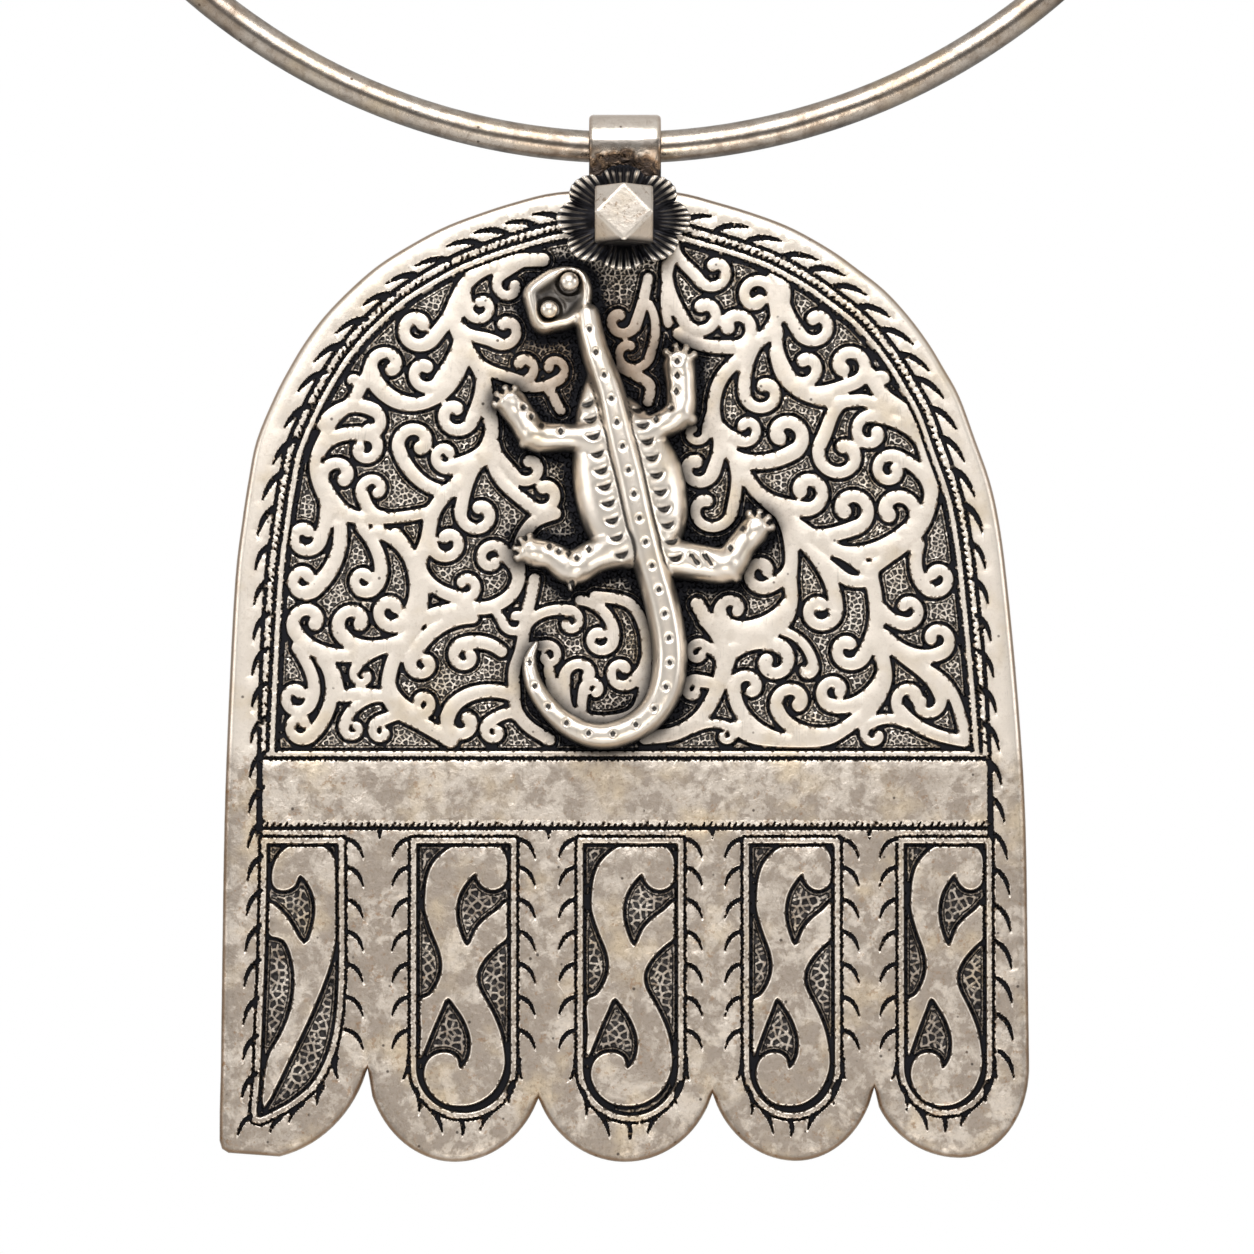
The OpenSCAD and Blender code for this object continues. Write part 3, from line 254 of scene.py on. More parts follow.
# A finger panel's scroll, clockwise from its left shoulder, across from the panel's middle and up
SCROLL = [
    [-3.9, -14.4], [-3.7, -12.8], [-3.1, -11.3], [-1.8, -10.0], [-0.5, -9.4], [1.0, -9.15],
    [2.5, -9.3], [3.7, -9.8], [4.35, -10.9], [4.4, -12.6], [4.1, -13.5], [3.3, -14.0],
    [2.5, -14.0], [1.8, -13.6], [1.3, -12.9], [1.15, -12.4], [0.3, -13.3], [-0.4, -14.5],
    [-0.7, -16.0], [-0.5, -17.6], [0.35, -19.5], [1.2, -17.9], [2.2, -16.8], [3.3, -16.0],
    [4.4, -15.1], [4.35, -17.0], [4.4, -18.7], [3.4, -19.6], [2.2, -20.8], [1.5, -22.0],
    [1.4, -23.0], [1.7, -24.0], [2.5, -25.4], [3.3, -27.0], [3.9, -28.8], [4.2, -31.2],
    [3.7, -33.0], [2.8, -34.3], [1.4, -35.2], [0.0, -35.5], [-1.8, -35.3], [-3.1, -34.4],
    [-3.8, -33.2], [-4.0, -32.3], [-3.8, -31.3], [-3.3, -30.6], [-2.6, -30.2], [-1.7, -30.1],
    [-0.9, -30.4], [-0.5, -30.9], [-0.3, -31.7], [0.4, -30.8], [0.65, -29.8], [0.6, -28.5],
    [0.0, -26.9], [-0.8, -25.7], [-1.6, -24.8], [-2.2, -26.0], [-3.0, -27.8], [-4.4, -31.0],
    [-4.3, -28.0], [-4.4, -25.1], [-3.4, -24.4], [-2.6, -23.2], [-2.2, -21.8], [-2.4, -20.2],
    [-3.2, -18.2], [-3.9, -16.0],
]
# The leaf-shaped scroll of the first finger, and the frame round it
LEAF_SCROLL = [
    [-35.2, -12.6], [-34.8, -11.0], [-33.9, -9.9], [-32.6, -9.2], [-30.9, -9.2], [-29.4, -10.1],
    [-28.5, -11.8], [-28.3, -14.5], [-28.5, -17.5], [-29.2, -21.2], [-30.8, -25.5], [-33.0, -30.2],
    [-35.9, -35.8], [-35.6, -31.0], [-34.3, -28.5], [-33.3, -26.0], [-32.9, -23.2], [-33.2, -20.8],
    [-34.0, -19.0], [-35.6, -18.3], [-35.5, -15.2], [-33.6, -16.7], [-31.9, -19.3], [-31.0, -17.2],
    [-30.9, -15.2], [-31.4, -13.7], [-32.3, -12.6], [-32.8, -13.6], [-33.8, -14.1], [-34.9, -13.8],
]
LEAF_FRAME = [
    [-36.1, -8.9], [-28.05, -8.9], [-28.0, -16.0], [-28.0, -22.0], [-28.25, -26.5], [-29.0, -30.2],
    [-30.4, -33.1], [-32.1, -34.8], [-34.3, -36.2], [-36.9, -36.9], [-36.7, -32.0], [-36.25, -20.0],
    [-36.1, -12.0],
]
# Thorns round that frame's foot: root and tip
LEAF_THORNS = [
    [-28.6, -30.6, -28.4, -33.0], [-29.9, -33.5, -30.6, -35.4], [-32.0, -35.3, -33.4, -37.2],
    [-34.2, -36.7, -35.3, -38.2], [-37.1, -36.4, -38.5, -38.6],
]
# Panels of the other fingers: middle, width between the raised lines, foot of the raised line
PANELS = [
    [-16.05, 10.3, -36.6],
    [0.55, 10.35, -36.9],
    [16.6, 9.4, -36.6],
    [31.85, 9.1, -36.3],
]
# Thorns of the rim, from the crown down both sides: where their tips stand, left and right
EDGE_TIPS = [
    [-9.6, 53.5, 9.1, 53.3], [-12.3, 52.6, 12.7, 52.2], [-15.4, 51.6, 15.9, 50.8],
    [-18.0, 50.3, 19.4, 48.9], [-21.1, 48.3, 22.1, 47.3], [-24.0, 46.5, 24.4, 45.3],
    [-26.4, 44.3, 26.8, 43.0], [-29.0, 41.5, 28.9, 40.4], [-31.1, 38.7, 30.5, 37.7],
    [-32.8, 35.6, 31.9, 35.0], [-34.1, 32.0, 33.2, 31.8], [-35.2, 28.4, 33.9, 28.7],
    [-36.2, 24.8, 34.9, 25.2], [-36.7, 21.2, 35.7, 21.5],
]
# Thorns along a finger frame: how far up each one leaves the frame, and those round its foot as
# root and tip, across from the panel's middle and up
THORN_ROWS = [-8.9, -11.7, -14.9, -18.1, -21.3, -24.6, -27.9]
LOW_THORNS = [
    [-5.5, -30.9, -6.2, -33.0], [-4.9, -33.6, -4.45, -36.4], [-3.25, -35.9, -2.05, -38.3],
    [-0.15, -37.1, -0.15, -38.5], [2.85, -36.1, 1.65, -38.0], [5.0, -33.0, 4.55, -35.4],
    [5.6, -30.8, 5.9, -32.9],
]
# The top of the panels, where their sides end, and the panel that the scroll and the thorns are
# drawn for: its width, and how far its foot is below its sides
PANEL_TOP, SHOULDER = -8.9, -31.6
DRAWN_WIDTH, DRAWN_DROP = 10.35, 5.0
# How the chased metal falls away beside a raised form: distance outside its edge, depth. Rows of
# the plate's points follow all these distances but the last.
GROUND_PROFILE = [
    [-0.24, 0.0], [-0.10, 0.03], [0.09, 0.48], [0.27, 0.47], [0.36, 0.18], [0.46, 0.38],
    [0.58, 0.28], [1.5, 0.28],
]
# How far inside the outline the front face starts, how far its chased border reaches, and the
# pitch of the border's rope
LIP, BORDER, ROPE_PITCH = 0.75, 5.05, 0.72
# The border's engraved lines: how far inside the outline, how far each leans in for a millimetre of
# height below LEAN_TOP, half width, and the height where it ends
BORDER_LINES = [(3.1, 0.02, 0.16, -8.5), (4.1, 0.0, 0.15, -0.2), (4.95, 0.0, 0.12, -0.2)]
LEAN_TOP, LEAN_DROP = 8, 16
# The rope's two sides: how far inside the outline, and how far the second lags along it
ROPE_SIDES = (3.5, 0.0), (4.02, 0.42)
# The plain band under the palm: its top line, its foot line and its half width
BAND_TOP, BAND_FOOT, BAND_HALF = -0.86, -7.85, 36.2
# How far round a cut the charts are worked out
CUT_REACH = 0.6
# The plate's rim, from its front to its back: how far inside the outline, and where
RIM = [(0.40, FACE + 0.10), (0.12, FACE + 0.42), (0.0, FACE + 0.95), (0.02, BACK - 0.5),
       (0.15, BACK - 0.12), (0.5, BACK)]
# Pitches of the meshes' points: along chased edges, on the ground, on plain metal, on the lizard
EDGE_PITCH, GROUND_PITCH, PLAIN_PITCH, LIZARD_PITCH = 0.23, 0.3, 1.3, 0.2
# The charts of the plate, of the lizard and of the ground round the lizard: steps and corners
PLATE_STEP, LIZARD_STEP, HALO_STEP = 0.1, 0.12, 0.25
PLATE_AREA = (-42, -42.5), (42, 57.5)
LIZARD_AREA = (-15.5, -1.5), (17, 50)
HALO_AREA = (-16, -3), (18, 52)
# Stands for any distance beyond a chart's reach, and how far the lizard's painted shadow reaches
FAR, HALO = 9.0, 6.0
# How much of its charted turn a scroll arm's curl runs through
CURL = 0.9

# The lizard. Its back and tail as rows of across, up, half width and height over the plate
SPINE = [
    [-3.75, 43.3, 1.3, 3.2], [-3.5, 41.6, 1.4, 3.6], [-2.75, 38.9, 1.5, 4.1],
    [-1.55, 35.5, 1.65, 4.35], [-0.5, 31.0, 1.85, 4.45], [0.5, 27.0, 1.95, 4.45],
    [1.5, 22.5, 1.95, 4.4], [2.7, 18.0, 1.8, 4.1], [3.8, 14.0, 1.8, 3.75], [4.45, 10.0, 1.8, 3.5],
    [4.2, 6.5, 1.75, 3.3], [3.0, 4.0, 1.6, 3.1], [0.9, 2.2, 1.45, 2.9], [-2.0, 1.3, 1.35, 2.7],
    [-4.8, 1.9, 1.25, 2.5], [-7.3, 3.8, 1.1, 2.2], [-9.0, 6.3, 0.95, 1.9], [-9.5, 8.8, 0.7, 1.5],
    [-8.8, 10.6, 0.3, 0.9],
]
# The trunk: across, up, half width and height along its middle
TRUNK = [
    [-2.5, 38.0, 1.1, 1.4], [-2.1, 34.0, 2.7, 2.3], [-1.0, 31.0, 4.2, 2.9], [0.2, 27.2, 5.5, 3.3],
    [0.8, 24.4, 5.5, 3.4], [1.2, 22.6, 4.8, 3.3], [1.5, 21.4, 3.2, 3.1], [1.7, 20.6, 2.2, 2.8],
]
# The legs, each from the trunk to the wrist, and the heel or elbow that sticks out of each
LEGS = [
    [[-2.2, 31.0, 1.6, 2.8], [-6.0, 31.1, 1.45, 2.7], [-8.9, 31.3, 1.65, 2.7],
     [-10.2, 33.0, 1.55, 2.5], [-11.2, 34.4, 1.6, 2.3]],
    [[1.5, 31.7, 1.6, 2.8], [3.4, 32.2, 1.45, 2.7], [5.4, 33.6, 1.6, 2.7], [5.6, 36.2, 1.55, 2.5],
     [5.4, 38.2, 1.7, 2.3]],
    [[1.0, 20.2, 2.0, 3.0], [-2.6, 19.4, 1.8, 2.9], [-5.2, 18.1, 1.8, 2.8], [-7.2, 19.2, 1.45, 2.5],
     [-8.9, 19.6, 1.5, 2.3]],
    [[4.0, 19.2, 2.1, 3.0], [7.3, 18.6, 1.9, 2.9], [10.1, 18.4, 1.85, 2.8], [11.6, 20.3, 1.5, 2.5],
     [12.8, 21.7, 1.55, 2.3]],
]
HEELS = [
    [[-9.0, 31.4, 1.2, 2.4], [-10.2, 30.4, 0.5, 1.9]],
    [[5.5, 33.6, 1.3, 2.4], [6.6, 32.9, 0.7, 2.0]],
    [[-4.9, 17.9, 1.3, 2.6], [-5.4, 16.0, 0.35, 1.8]],
    [[10.1, 18.2, 1.4, 2.6], [11.1, 17.1, 0.6, 2.0]],
]
# Paws: middle across and up, radius, the way its middle toes point, and the angle from toe to toe
PAWS = [
    [-11.4, 34.5, 1.75, 128, 37],
    [5.4, 38.5, 1.9, 84, 36],
    [-9.4, 19.7, 1.7, 150, 37],
    [13.0, 22.0, 1.8, 58, 36],
]
HEAD = [
    [-8.9, 47.2], [-7.3, 48.1], [-5.4, 48.3], [-3.9, 47.7], [-3.2, 46.1], [-3.3, 44.5],
    [-3.9, 43.2], [-5.2, 42.0], [-6.8, 41.6], [-8.2, 41.3], [-9.3, 42.0], [-9.9, 43.6],
    [-10.3, 45.3], [-9.9, 46.4],
]
# The head's dish: distance inside its edge over the rim's thickness, height
HEAD_PROFILE = [
    [0, 0], [0.06, 1.1], [0.16, 1.8], [0.34, 2.4], [0.6, 2.65], [0.85, 2.5], [1.1, 2.05],
    [1.5, 1.45], [2.2, 1.1], [3.5, 1.0],
]
# Its two ball eyes: across, up, radius
EYES = [[-5.55, 46.55, 0.96], [-7.55, 43.8, 0.9]]
# The ribs, and the punch marks of the back and tail: from where to where along the back, pitch
RIBS = 8.6, 27.0, 1.72
BACK_MARKS = 1.6, 60.0, 2.45
# Size and depth of a mark on the back, and of one on a leg
BACK_PUNCH, LEG_PUNCH = (0.31, 0.5), (0.34, 0.6)
# How high the middle of an eye's ball is over the plate
EYE_HEIGHT = 2.25
# Punch marks on the legs: across, up
LEG_MARKS = [
    [-10.1, 34.0], [-9.3, 33.1], [-8.3, 32.2], [-6.4, 31.6], [5.2, 38.6], [5.2, 37.2],
    [5.1, 35.6], [4.6, 33.9], [3.1, 32.8], [-7.5, 20.1], [-6.6, 19.6], [-5.6, 19.4], [-4.8, 18.9],
    [-3.6, 19.8], [11.7, 21.9], [10.5, 19.9],
]
# Cut lines on the legs, from one end to the other
LEG_CUTS = [
    [6.6, 19.2, 7.3, 18.3], [7.9, 19.2, 8.6, 18.3], [-5.3, 16.6, -5.0, 15.7],
]

# The rosette's section, from the middle of its front over the rim to the middle of its back:
# share of its radius, share of its depth, and how strongly it is crimped
ROSETTE_PROFILE = [
    [0.06, 0.34, 0.0], [0.3, 0.34, 0.0], [0.5, 0.40, 0.0], [0.64, 0.50, 0.25], [0.76, 0.64, 0.8],
    [0.86, 0.80, 1.0], [0.93, 0.90, 1.0], [0.975, 0.93, 0.9], [1.0, 0.88, 0.6], [0.985, 0.78, 0.5],
    [0.9, 0.58, 0.5], [0.76, 0.34, 0.3], [0.55, 0.08, 0.1], [0.35, 0.0, 0.0], [0.06, 0.0, 0.0],
]
# How many columns of points the rosette has, and how many flutes
ROSETTE_COLUMNS, FLUTES = 640, 48
# How sharp the boss's edges are: the power of its sum
BOSS_POWER = 48
# The radius of the strap's bore
STRAP_BORE = 2.0
# The neck ring's gap at the nape and the barrel over it, both as angles from the nape in degrees;
# the rows and sides of the wire; how much of the barrel's ends, in radians, its lips take up
RING_GAP, CLASP_REACH = 1.5, 7
WIRE_ROWS, WIRE_SIDES, CLASP_SIDES = 420, 32, 48
CLASP_LIP = 0.006
# How the strap's edges are drawn in: distance from its side, and how far
STRAP_EDGE = [(0.0, 0.4), (0.03, 0.27), (0.1, 0.16), (0.22, 0.07), (0.4, 0.0)]


def smooth_line(rows, steps, closed=False):
    """A curve through rows of numbers: each stretch between two rows is a cubic whose slope at a
    row is half the difference of that row's two neighbours."""
    rows = np.asarray(rows, float)
    n = len(rows)
    t = (np.arange(steps) / steps)[None, :, None]
    at = np.arange(n if closed else n - 1)
    pick = (lambda i: rows[i % n]) if closed else (lambda i: rows[np.clip(i, 0, n - 1)])
    a, b, c, d = (pick(at + k)[:, None, :] for k in (-1, 0, 1, 2))
    curve = 0.5 * (2 * b + (c - a) * t + (2 * a - 5 * b + 4 * c - d) * t * t
                   + (3 * b - a - 3 * c + d) * t ** 3)
    curve = curve.reshape(-1, rows.shape[1])
    return curve if closed else np.vstack([curve, rows[-1:]])


def turned(angle):
    """The direction at an angle in degrees, anticlockwise from the right."""
    return np.stack([np.cos(np.radians(angle)), np.sin(np.radians(angle))], -1)


def arm_line(row, steps=26):
    """A scroll arm as points and half widths: a cubic lead that leaves the stem in one direction
    and joins the curl, then an arc whose radius shrinks to the bulb at its tip."""
    x, z, aim, cx, cz, r, tip, turn, width = row
    centre, start = np.array([cx, cz]), tip - turn
    first = centre + (r - width / 2) * turned(start)
    root = np.array([x, z])
    pull = 1.1 * np.linalg.norm(first - root)
    t = np.linspace(0, 1, 10, endpoint=False)[:, None]
    lead = ((2 * t ** 3 - 3 * t ** 2 + 1) * root + (t ** 3 - 2 * t ** 2 + t) * pull * turned(aim)
            + (3 * t ** 2 - 2 * t ** 3) * first
            + (t ** 3 - t ** 2) * pull * turned(start + 90 * np.sign(turn)))
    k = np.linspace(0, 1, steps)[:, None]
    slim = 0.16 * width * np.sin(np.pi * np.clip(k * 1.15, 0, 1)) ** 0.7
    radius = (r - width / 2) * (1 - k) + r * (0.42 * k - 0.17 * k ** 4) + slim / 2
    curl = centre + radius * turned((start + CURL * turn * k)[:, 0])
    half = np.concatenate([width * (0.85 + 0.15 * t[:, 0]),
                           width + (min(0.6 * r, width) - width) * k[:, 0] - slim[:, 0]]) / 2
    return np.vstack([lead, curl]), half


def arc(centre, a, b, start, end, step=4.0):
    """Part of an ellipse about a centre, from one angle to another."""
    turns = np.linspace(start, end, max(2, int(abs(end - start) / step) + 1))
    return np.array(centre) + turned(turns) * [a, b]


def spread(loop, pitch):
    """A closed line with its long stretches cut into equal parts no longer than the pitch."""
    out = []
    for a, b in zip(loop, np.roll(loop, -1, 0)):
        n = max(1, math.ceil(np.linalg.norm(b - a) / pitch))
        out.append(a + (b - a) * (np.arange(n) / n)[:, None])
    return np.vstack(out)


def plate_outline(pitch=0.55):
    """The plate's outline, anticlockwise: the arch and sides, then the five lobes."""
    right = [[r[2], r[0]] for r in SIDES[:0:-1]]
    left = [[-r[1], r[0]] for r in SIDES]
    u, v, _, right_w, drop = LOBES[0]
    first = arc([u, v], right_w, drop, 283, 345)
    parts = [smooth_line(right + left, 4), CORNER, first[first[:, 0] < NOTCHES[0][0] - 0.2]]
    for i in range(1, 5):
        u, v, left_w, right_w, drop = LOBES[i]
        lobe = np.vstack([arc([u, v], left_w, drop, 190, 268),
                          arc([u, v], right_w, drop, 270, 352 if i == 4 else 350)])
        keep = lobe[:, 0] > NOTCHES[i - 1][0] + 0.3
        if i < 4:
            keep &= lobe[:, 0] < NOTCHES[i][0] - 0.3
        parts += [[NOTCHES[i - 1]], lobe[keep]]
    return spread(np.vstack(parts), pitch)


def inset(loop, distance):
    """A closed anticlockwise line moved inwards: each point goes along the sum of its two
    neighbouring sides' inward normals, far enough to keep the sides that distance away."""
    after = np.roll(loop, -1, 0) - loop
    after /= np.linalg.norm(after, axis=1, keepdims=True)
    before = np.roll(after, 1, 0)
    lean = np.stack([-(before + after)[:, 1], (before + after)[:, 0]], 1)
    return loop + distance * lean / np.maximum(1 + (before * after).sum(1), 0.45)[:, None]


class Chart:
    """A flat grid over the plate that holds distances. Each value is at one grid point."""

    def __init__(self, step, low, high):
        self.step, self.low = step, np.array(low, float)
        self.u = np.arange(low[0], high[0], step)
        self.v = np.arange(low[1], high[1], step)

    def blank(self):
        """A field with nothing near."""
        return np.full((len(self.v), len(self.u)), FAR)

    def window(self, pts, reach):
        """The grid's rows and columns within reach of some points, as two slices."""
        lo = np.floor((pts.min(0) - reach - self.low) / self.step).astype(int)
        hi = np.ceil((pts.max(0) + reach - self.low) / self.step).astype(int) + 1
        return (slice(max(lo[1], 0), max(min(hi[1], len(self.v)), 0)),
                slice(max(lo[0], 0), max(min(hi[0], len(self.u)), 0)))

    def stroke(self, field, line, half, reach=1.3, closed=False):
        """Lowers the field to the distance from a stroke with round ends: for each stretch of
        its line, the distance to the stretch less its half width, which changes evenly."""
        line = np.asarray(line, float)
        half = np.broadcast_to(half, len(line)).astype(float)
        if closed:
            line, half = np.vstack([line, line[:1]]), np.append(half, half[0])
        for a, b, ra, rb in zip(line[:-1], line[1:], half[:-1], half[1:]):
            side = b - a
            length = max(np.linalg.norm(side), 1e-9)
            rows, cols = self.window(np.stack([a, b]), reach + max(ra, rb))
            du = self.u[None, cols] - a[0]
            dv = self.v[rows, None] - a[1]
            t = np.clip((du * side[0] + dv * side[1]) / length ** 2, 0, 1)
            far = np.hypot(du - t * side[0], dv - t * side[1]) - (ra + (rb - ra) * t)
            field[rows, cols] = np.minimum(far, field[rows, cols])
        return field

    def inside(self, loop):
        """Which grid points lie inside a closed line, by counting how often a level line to the
        right of the point crosses it."""
        loop = np.asarray(loop, float)
        mask = np.zeros((len(self.v), len(self.u)), bool)
        for a, b in zip(loop, np.roll(loop, -1, 0)):
            lo, hi = sorted((a[1], b[1]))
            rows = (self.v > lo) & (self.v <= hi)
            if rows.any():
                cross = a[0] + (self.v[rows] - a[1]) / (b[1] - a[1]) * (b[0] - a[0])
                mask[rows] ^= self.u[None, :] < cross[:, None]
        return mask

    def loop(self, line, reach=1.5):
        """The distance from a closed line, negative inside it."""
        far = self.stroke(self.blank(), line, 0.0, reach, closed=True)
        return np.where(self.inside(line), -far, far)

    def at(self, field, pts):
        """The field at any points, from the four grid points round each."""
        q = (pts - self.low) / self.step
        i = np.clip(np.floor(q).astype(int), 0, [len(self.u) - 2, len(self.v) - 2])
        f, g = (q - i).T
        a, b = field[i[:, 1], i[:, 0]], field[i[:, 1], i[:, 0] + 1]
        c, d = field[i[:, 1] + 1, i[:, 0]], field[i[:, 1] + 1, i[:, 0] + 1]
        return (a * (1 - f) + b * f) * (1 - g) + (c * (1 - f) + d * f) * g

    def contour(self, field, level, pitch):
        """Points where the field passes a level, found on the grid's lines by proportion."""
        f = field - level
        found = []
        for axis in (0, 1):
            a = f[:-1] if axis == 0 else f[:, :-1]
            b = f[1:] if axis == 0 else f[:, 1:]
            row, col = np.nonzero((a * b < 0) & (np.abs(a) + np.abs(b) < 4 * self.step))
            t = a[row, col] / (a[row, col] - b[row, col])
            shift = np.stack([t * (axis == 1), t * (axis == 0)], 1)
            found.append(self.low + self.step * (np.stack([col, row], 1) + shift))
        return thinned(np.vstack(found), pitch)


def thinned(pts, pitch):
    """One point for each square cell of a turned grid, then once more with the cells moved by
    half a side."""
    for shift in (0.0, 0.5):
        key = np.floor(pts @ [[0.83, -0.56], [0.56, 0.83]] / pitch + shift).astype(np.int64)
        _, first = np.unique(key[:, 0] * 100003 + key[:, 1], return_index=True)
        pts = pts[np.sort(first)]
    return pts


def lattice(low, high, pitch):
    """Points in rows, each row moved by half a step from the next."""
    u = np.arange(low[0], high[0], pitch)
    v = np.arange(low[1], high[1], pitch * 0.866)
    pts = np.stack(np.meshgrid(u, v), -1)
    pts[1::2, :, 0] += pitch / 2
    return pts.reshape(-1, 2)


def triangles_inside(loop, pts):
    """Delaunay triangles over a closed line and the points inside it."""
    flat = [Vector(p) for p in np.vstack([loop, pts]).tolist()]
    verts, _, faces, _, _, _ = delaunay_2d_cdt(flat, [], [list(range(len(loop)))], 1, 1e-6)
    return np.array([tuple(v) for v in verts]), np.array(faces)


def put_mesh(name, verts, faces, attributes=None, smooth=True, sharp=None):
    """Puts arrays of points in millimetres and of faces into a new object in metres. Faces may be
    one array of equal rows, or a list of such arrays."""
    groups = faces if isinstance(faces, list) else [faces]
    groups = [np.asarray(g) for g in groups if len(g)]
    mesh = bpy.data.meshes.new(name)
    mesh.vertices.add(len(verts))
    mesh.vertices.foreach_set("co", (np.asarray(verts) * MM).astype(np.float32).ravel())
    sizes = np.concatenate([np.full(len(g), g.shape[1]) for g in groups])
    mesh.loops.add(int(sizes.sum()))
    corners = np.concatenate([g.ravel() for g in groups])
    mesh.loops.foreach_set("vertex_index", corners.astype(np.int32))
    mesh.polygons.add(len(sizes))
    starts = np.concatenate([[0], np.cumsum(sizes)[:-1]])
    mesh.polygons.foreach_set("loop_start", starts.astype(np.int32))
    mesh.update(calc_edges=True)
    mesh.polygons.foreach_set("use_smooth", np.full(len(sizes), smooth))
    for key, values in (attributes or {}).items():
        layer = mesh.attributes.new(key, "FLOAT", "POINT")
        layer.data.foreach_set("value", np.asarray(values, np.float32))
    mesh.validate()
    if sharp is not None:
        mesh.set_sharp_from_angle(angle=math.radians(sharp))
    piece = bpy.data.objects.new(name, mesh)
    bpy.context.scene.collection.objects.link(piece)
    return piece


def upright(flat, y):
    """Points of the plate's plane, put at a distance from front to back."""
    return np.stack([flat[:, 0], np.full(len(flat), y), FOOT + flat[:, 1]], 1)


# ---- the plate ----


def panel_loop(middle, width, foot):
    """A finger frame: two uprights joined by half an ellipse below the shoulder."""
    bottom = arc([middle, SHOULDER], width / 2, SHOULDER - foot, 180, 360, 6)
    return np.vstack([[[middle - width / 2, PANEL_TOP]], bottom, [[middle + width / 2, PANEL_TOP]]])


def cut_thorn(chart, cuts, root, tip, bulge, thick=0.2):
    """Cuts a thorn: a line from root to tip that swells and then thins out, bent to one side by
    a share of its length."""
    root, tip = np.array(root, float), np.array(tip, float)
    side = tip - root
    normal = np.array([-side[1], side[0]])
    t = np.linspace(0, 1, 8)[:, None]
    line = root + side * t + normal * bulge * 4 * t * (1 - t) * (1 - 0.35 * t)
    half = thick * np.interp(t[:, 0], [0, 0.3, 0.7, 1], [0.8, 1, 0.66, 0.1])
    chart.stroke(cuts, line, half, CUT_REACH)


def palm_strokes(chart):
    """The palm's raised scrollwork: its arms, and the stems that carry them."""
    raised = chart.blank()
    for row in ARMS:
        chart.stroke(raised, *arm_line(row))
    for width, pts in STEMS:
        chart.stroke(raised, smooth_line(pts, 5), width / 2)
    return raised


def framed(chart, fields, frame, scroll):
    """Adds a raised scroll to the charts of raised forms, sunk region and cuts: the ground sinks
    half a millimetre inside the scroll's frame, and a fine line is cut on each side of it."""
    raised, region, cuts = fields
    line = chart.loop(frame, 2.5)
    return (np.minimum(raised, chart.loop(smooth_line(scroll, 3, closed=True))),
            np.maximum(region, -0.5 - line),
            np.minimum(cuts, np.abs(np.abs(line + 0.2) - 0.45) - 0.13))


def plate_fields(chart):
    """Two distance charts: the chased forms (negative on the metal that stays high), and the
    plate's own edge; and the outline."""
    outline = plate_outline()
    edge = chart.stroke(chart.blank(), outline, 0.0, 7.0, closed=True)
    v = chart.v[:, None]
    fields = palm_strokes(chart), np.minimum(edge - BORDER, v + 0.1), chart.blank()
    for middle, width, foot in PANELS:
        ratio, depth = width / DRAWN_WIDTH, (SHOULDER - foot) / DRAWN_DROP
        scroll = [[middle + p[0] * ratio, p[1]] for p in SCROLL]
        fields = framed(chart, fields, panel_loop(middle, width, foot), scroll)
        for a, b, c, d in LOW_THORNS:
            root = [middle + a * ratio, SHOULDER + (b - SHOULDER) * depth]
            tip = [middle + c * ratio, SHOULDER + (d - SHOULDER) * depth]
            cut_thorn(chart, fields[2], root, tip, 0.12 if a < 0 else -0.12)
        for v_thorn in THORN_ROWS:
            for s in (-1, 1):
                if s < 0 or middle < PANELS[-1][0]:
                    cut_thorn(chart, fields[2], [middle + s * (width / 2 + 0.3), v_thorn],
                              [middle + s * (width / 2 + 2.0), v_thorn - 2.1], 0.2 * s)
    foot = smooth_line(LEAF_FRAME[1:-1], 3)
    frame_line = np.vstack([LEAF_FRAME[:1], foot, LEAF_FRAME[-1:]])
    raised, region, cuts = framed(chart, fields, frame_line, LEAF_SCROLL)
    for v_thorn in THORN_ROWS:
        cut_thorn(chart, cuts, [-27.75, v_thorn], [-26.0, v_thorn - 2.1], 0.2)
    for a, b, c, d in LEAF_THORNS:
        cut_thorn(chart, cuts, [a, b], [c, d], -0.15)
    for inside, lean, half, lowest in BORDER_LINES:
        line = np.abs(edge - inside - lean * np.clip(LEAN_TOP - v, 0, LEAN_DROP)) - half
        cuts = np.minimum(cuts, np.where(v > lowest, line, FAR))
    border_cuts(chart, cuts, outline)
    band_cuts(chart, cuts)
    relief = np.maximum(np.minimum(region, raised), np.minimum(-2 * cuts, 0.26))
    return relief, edge, outline


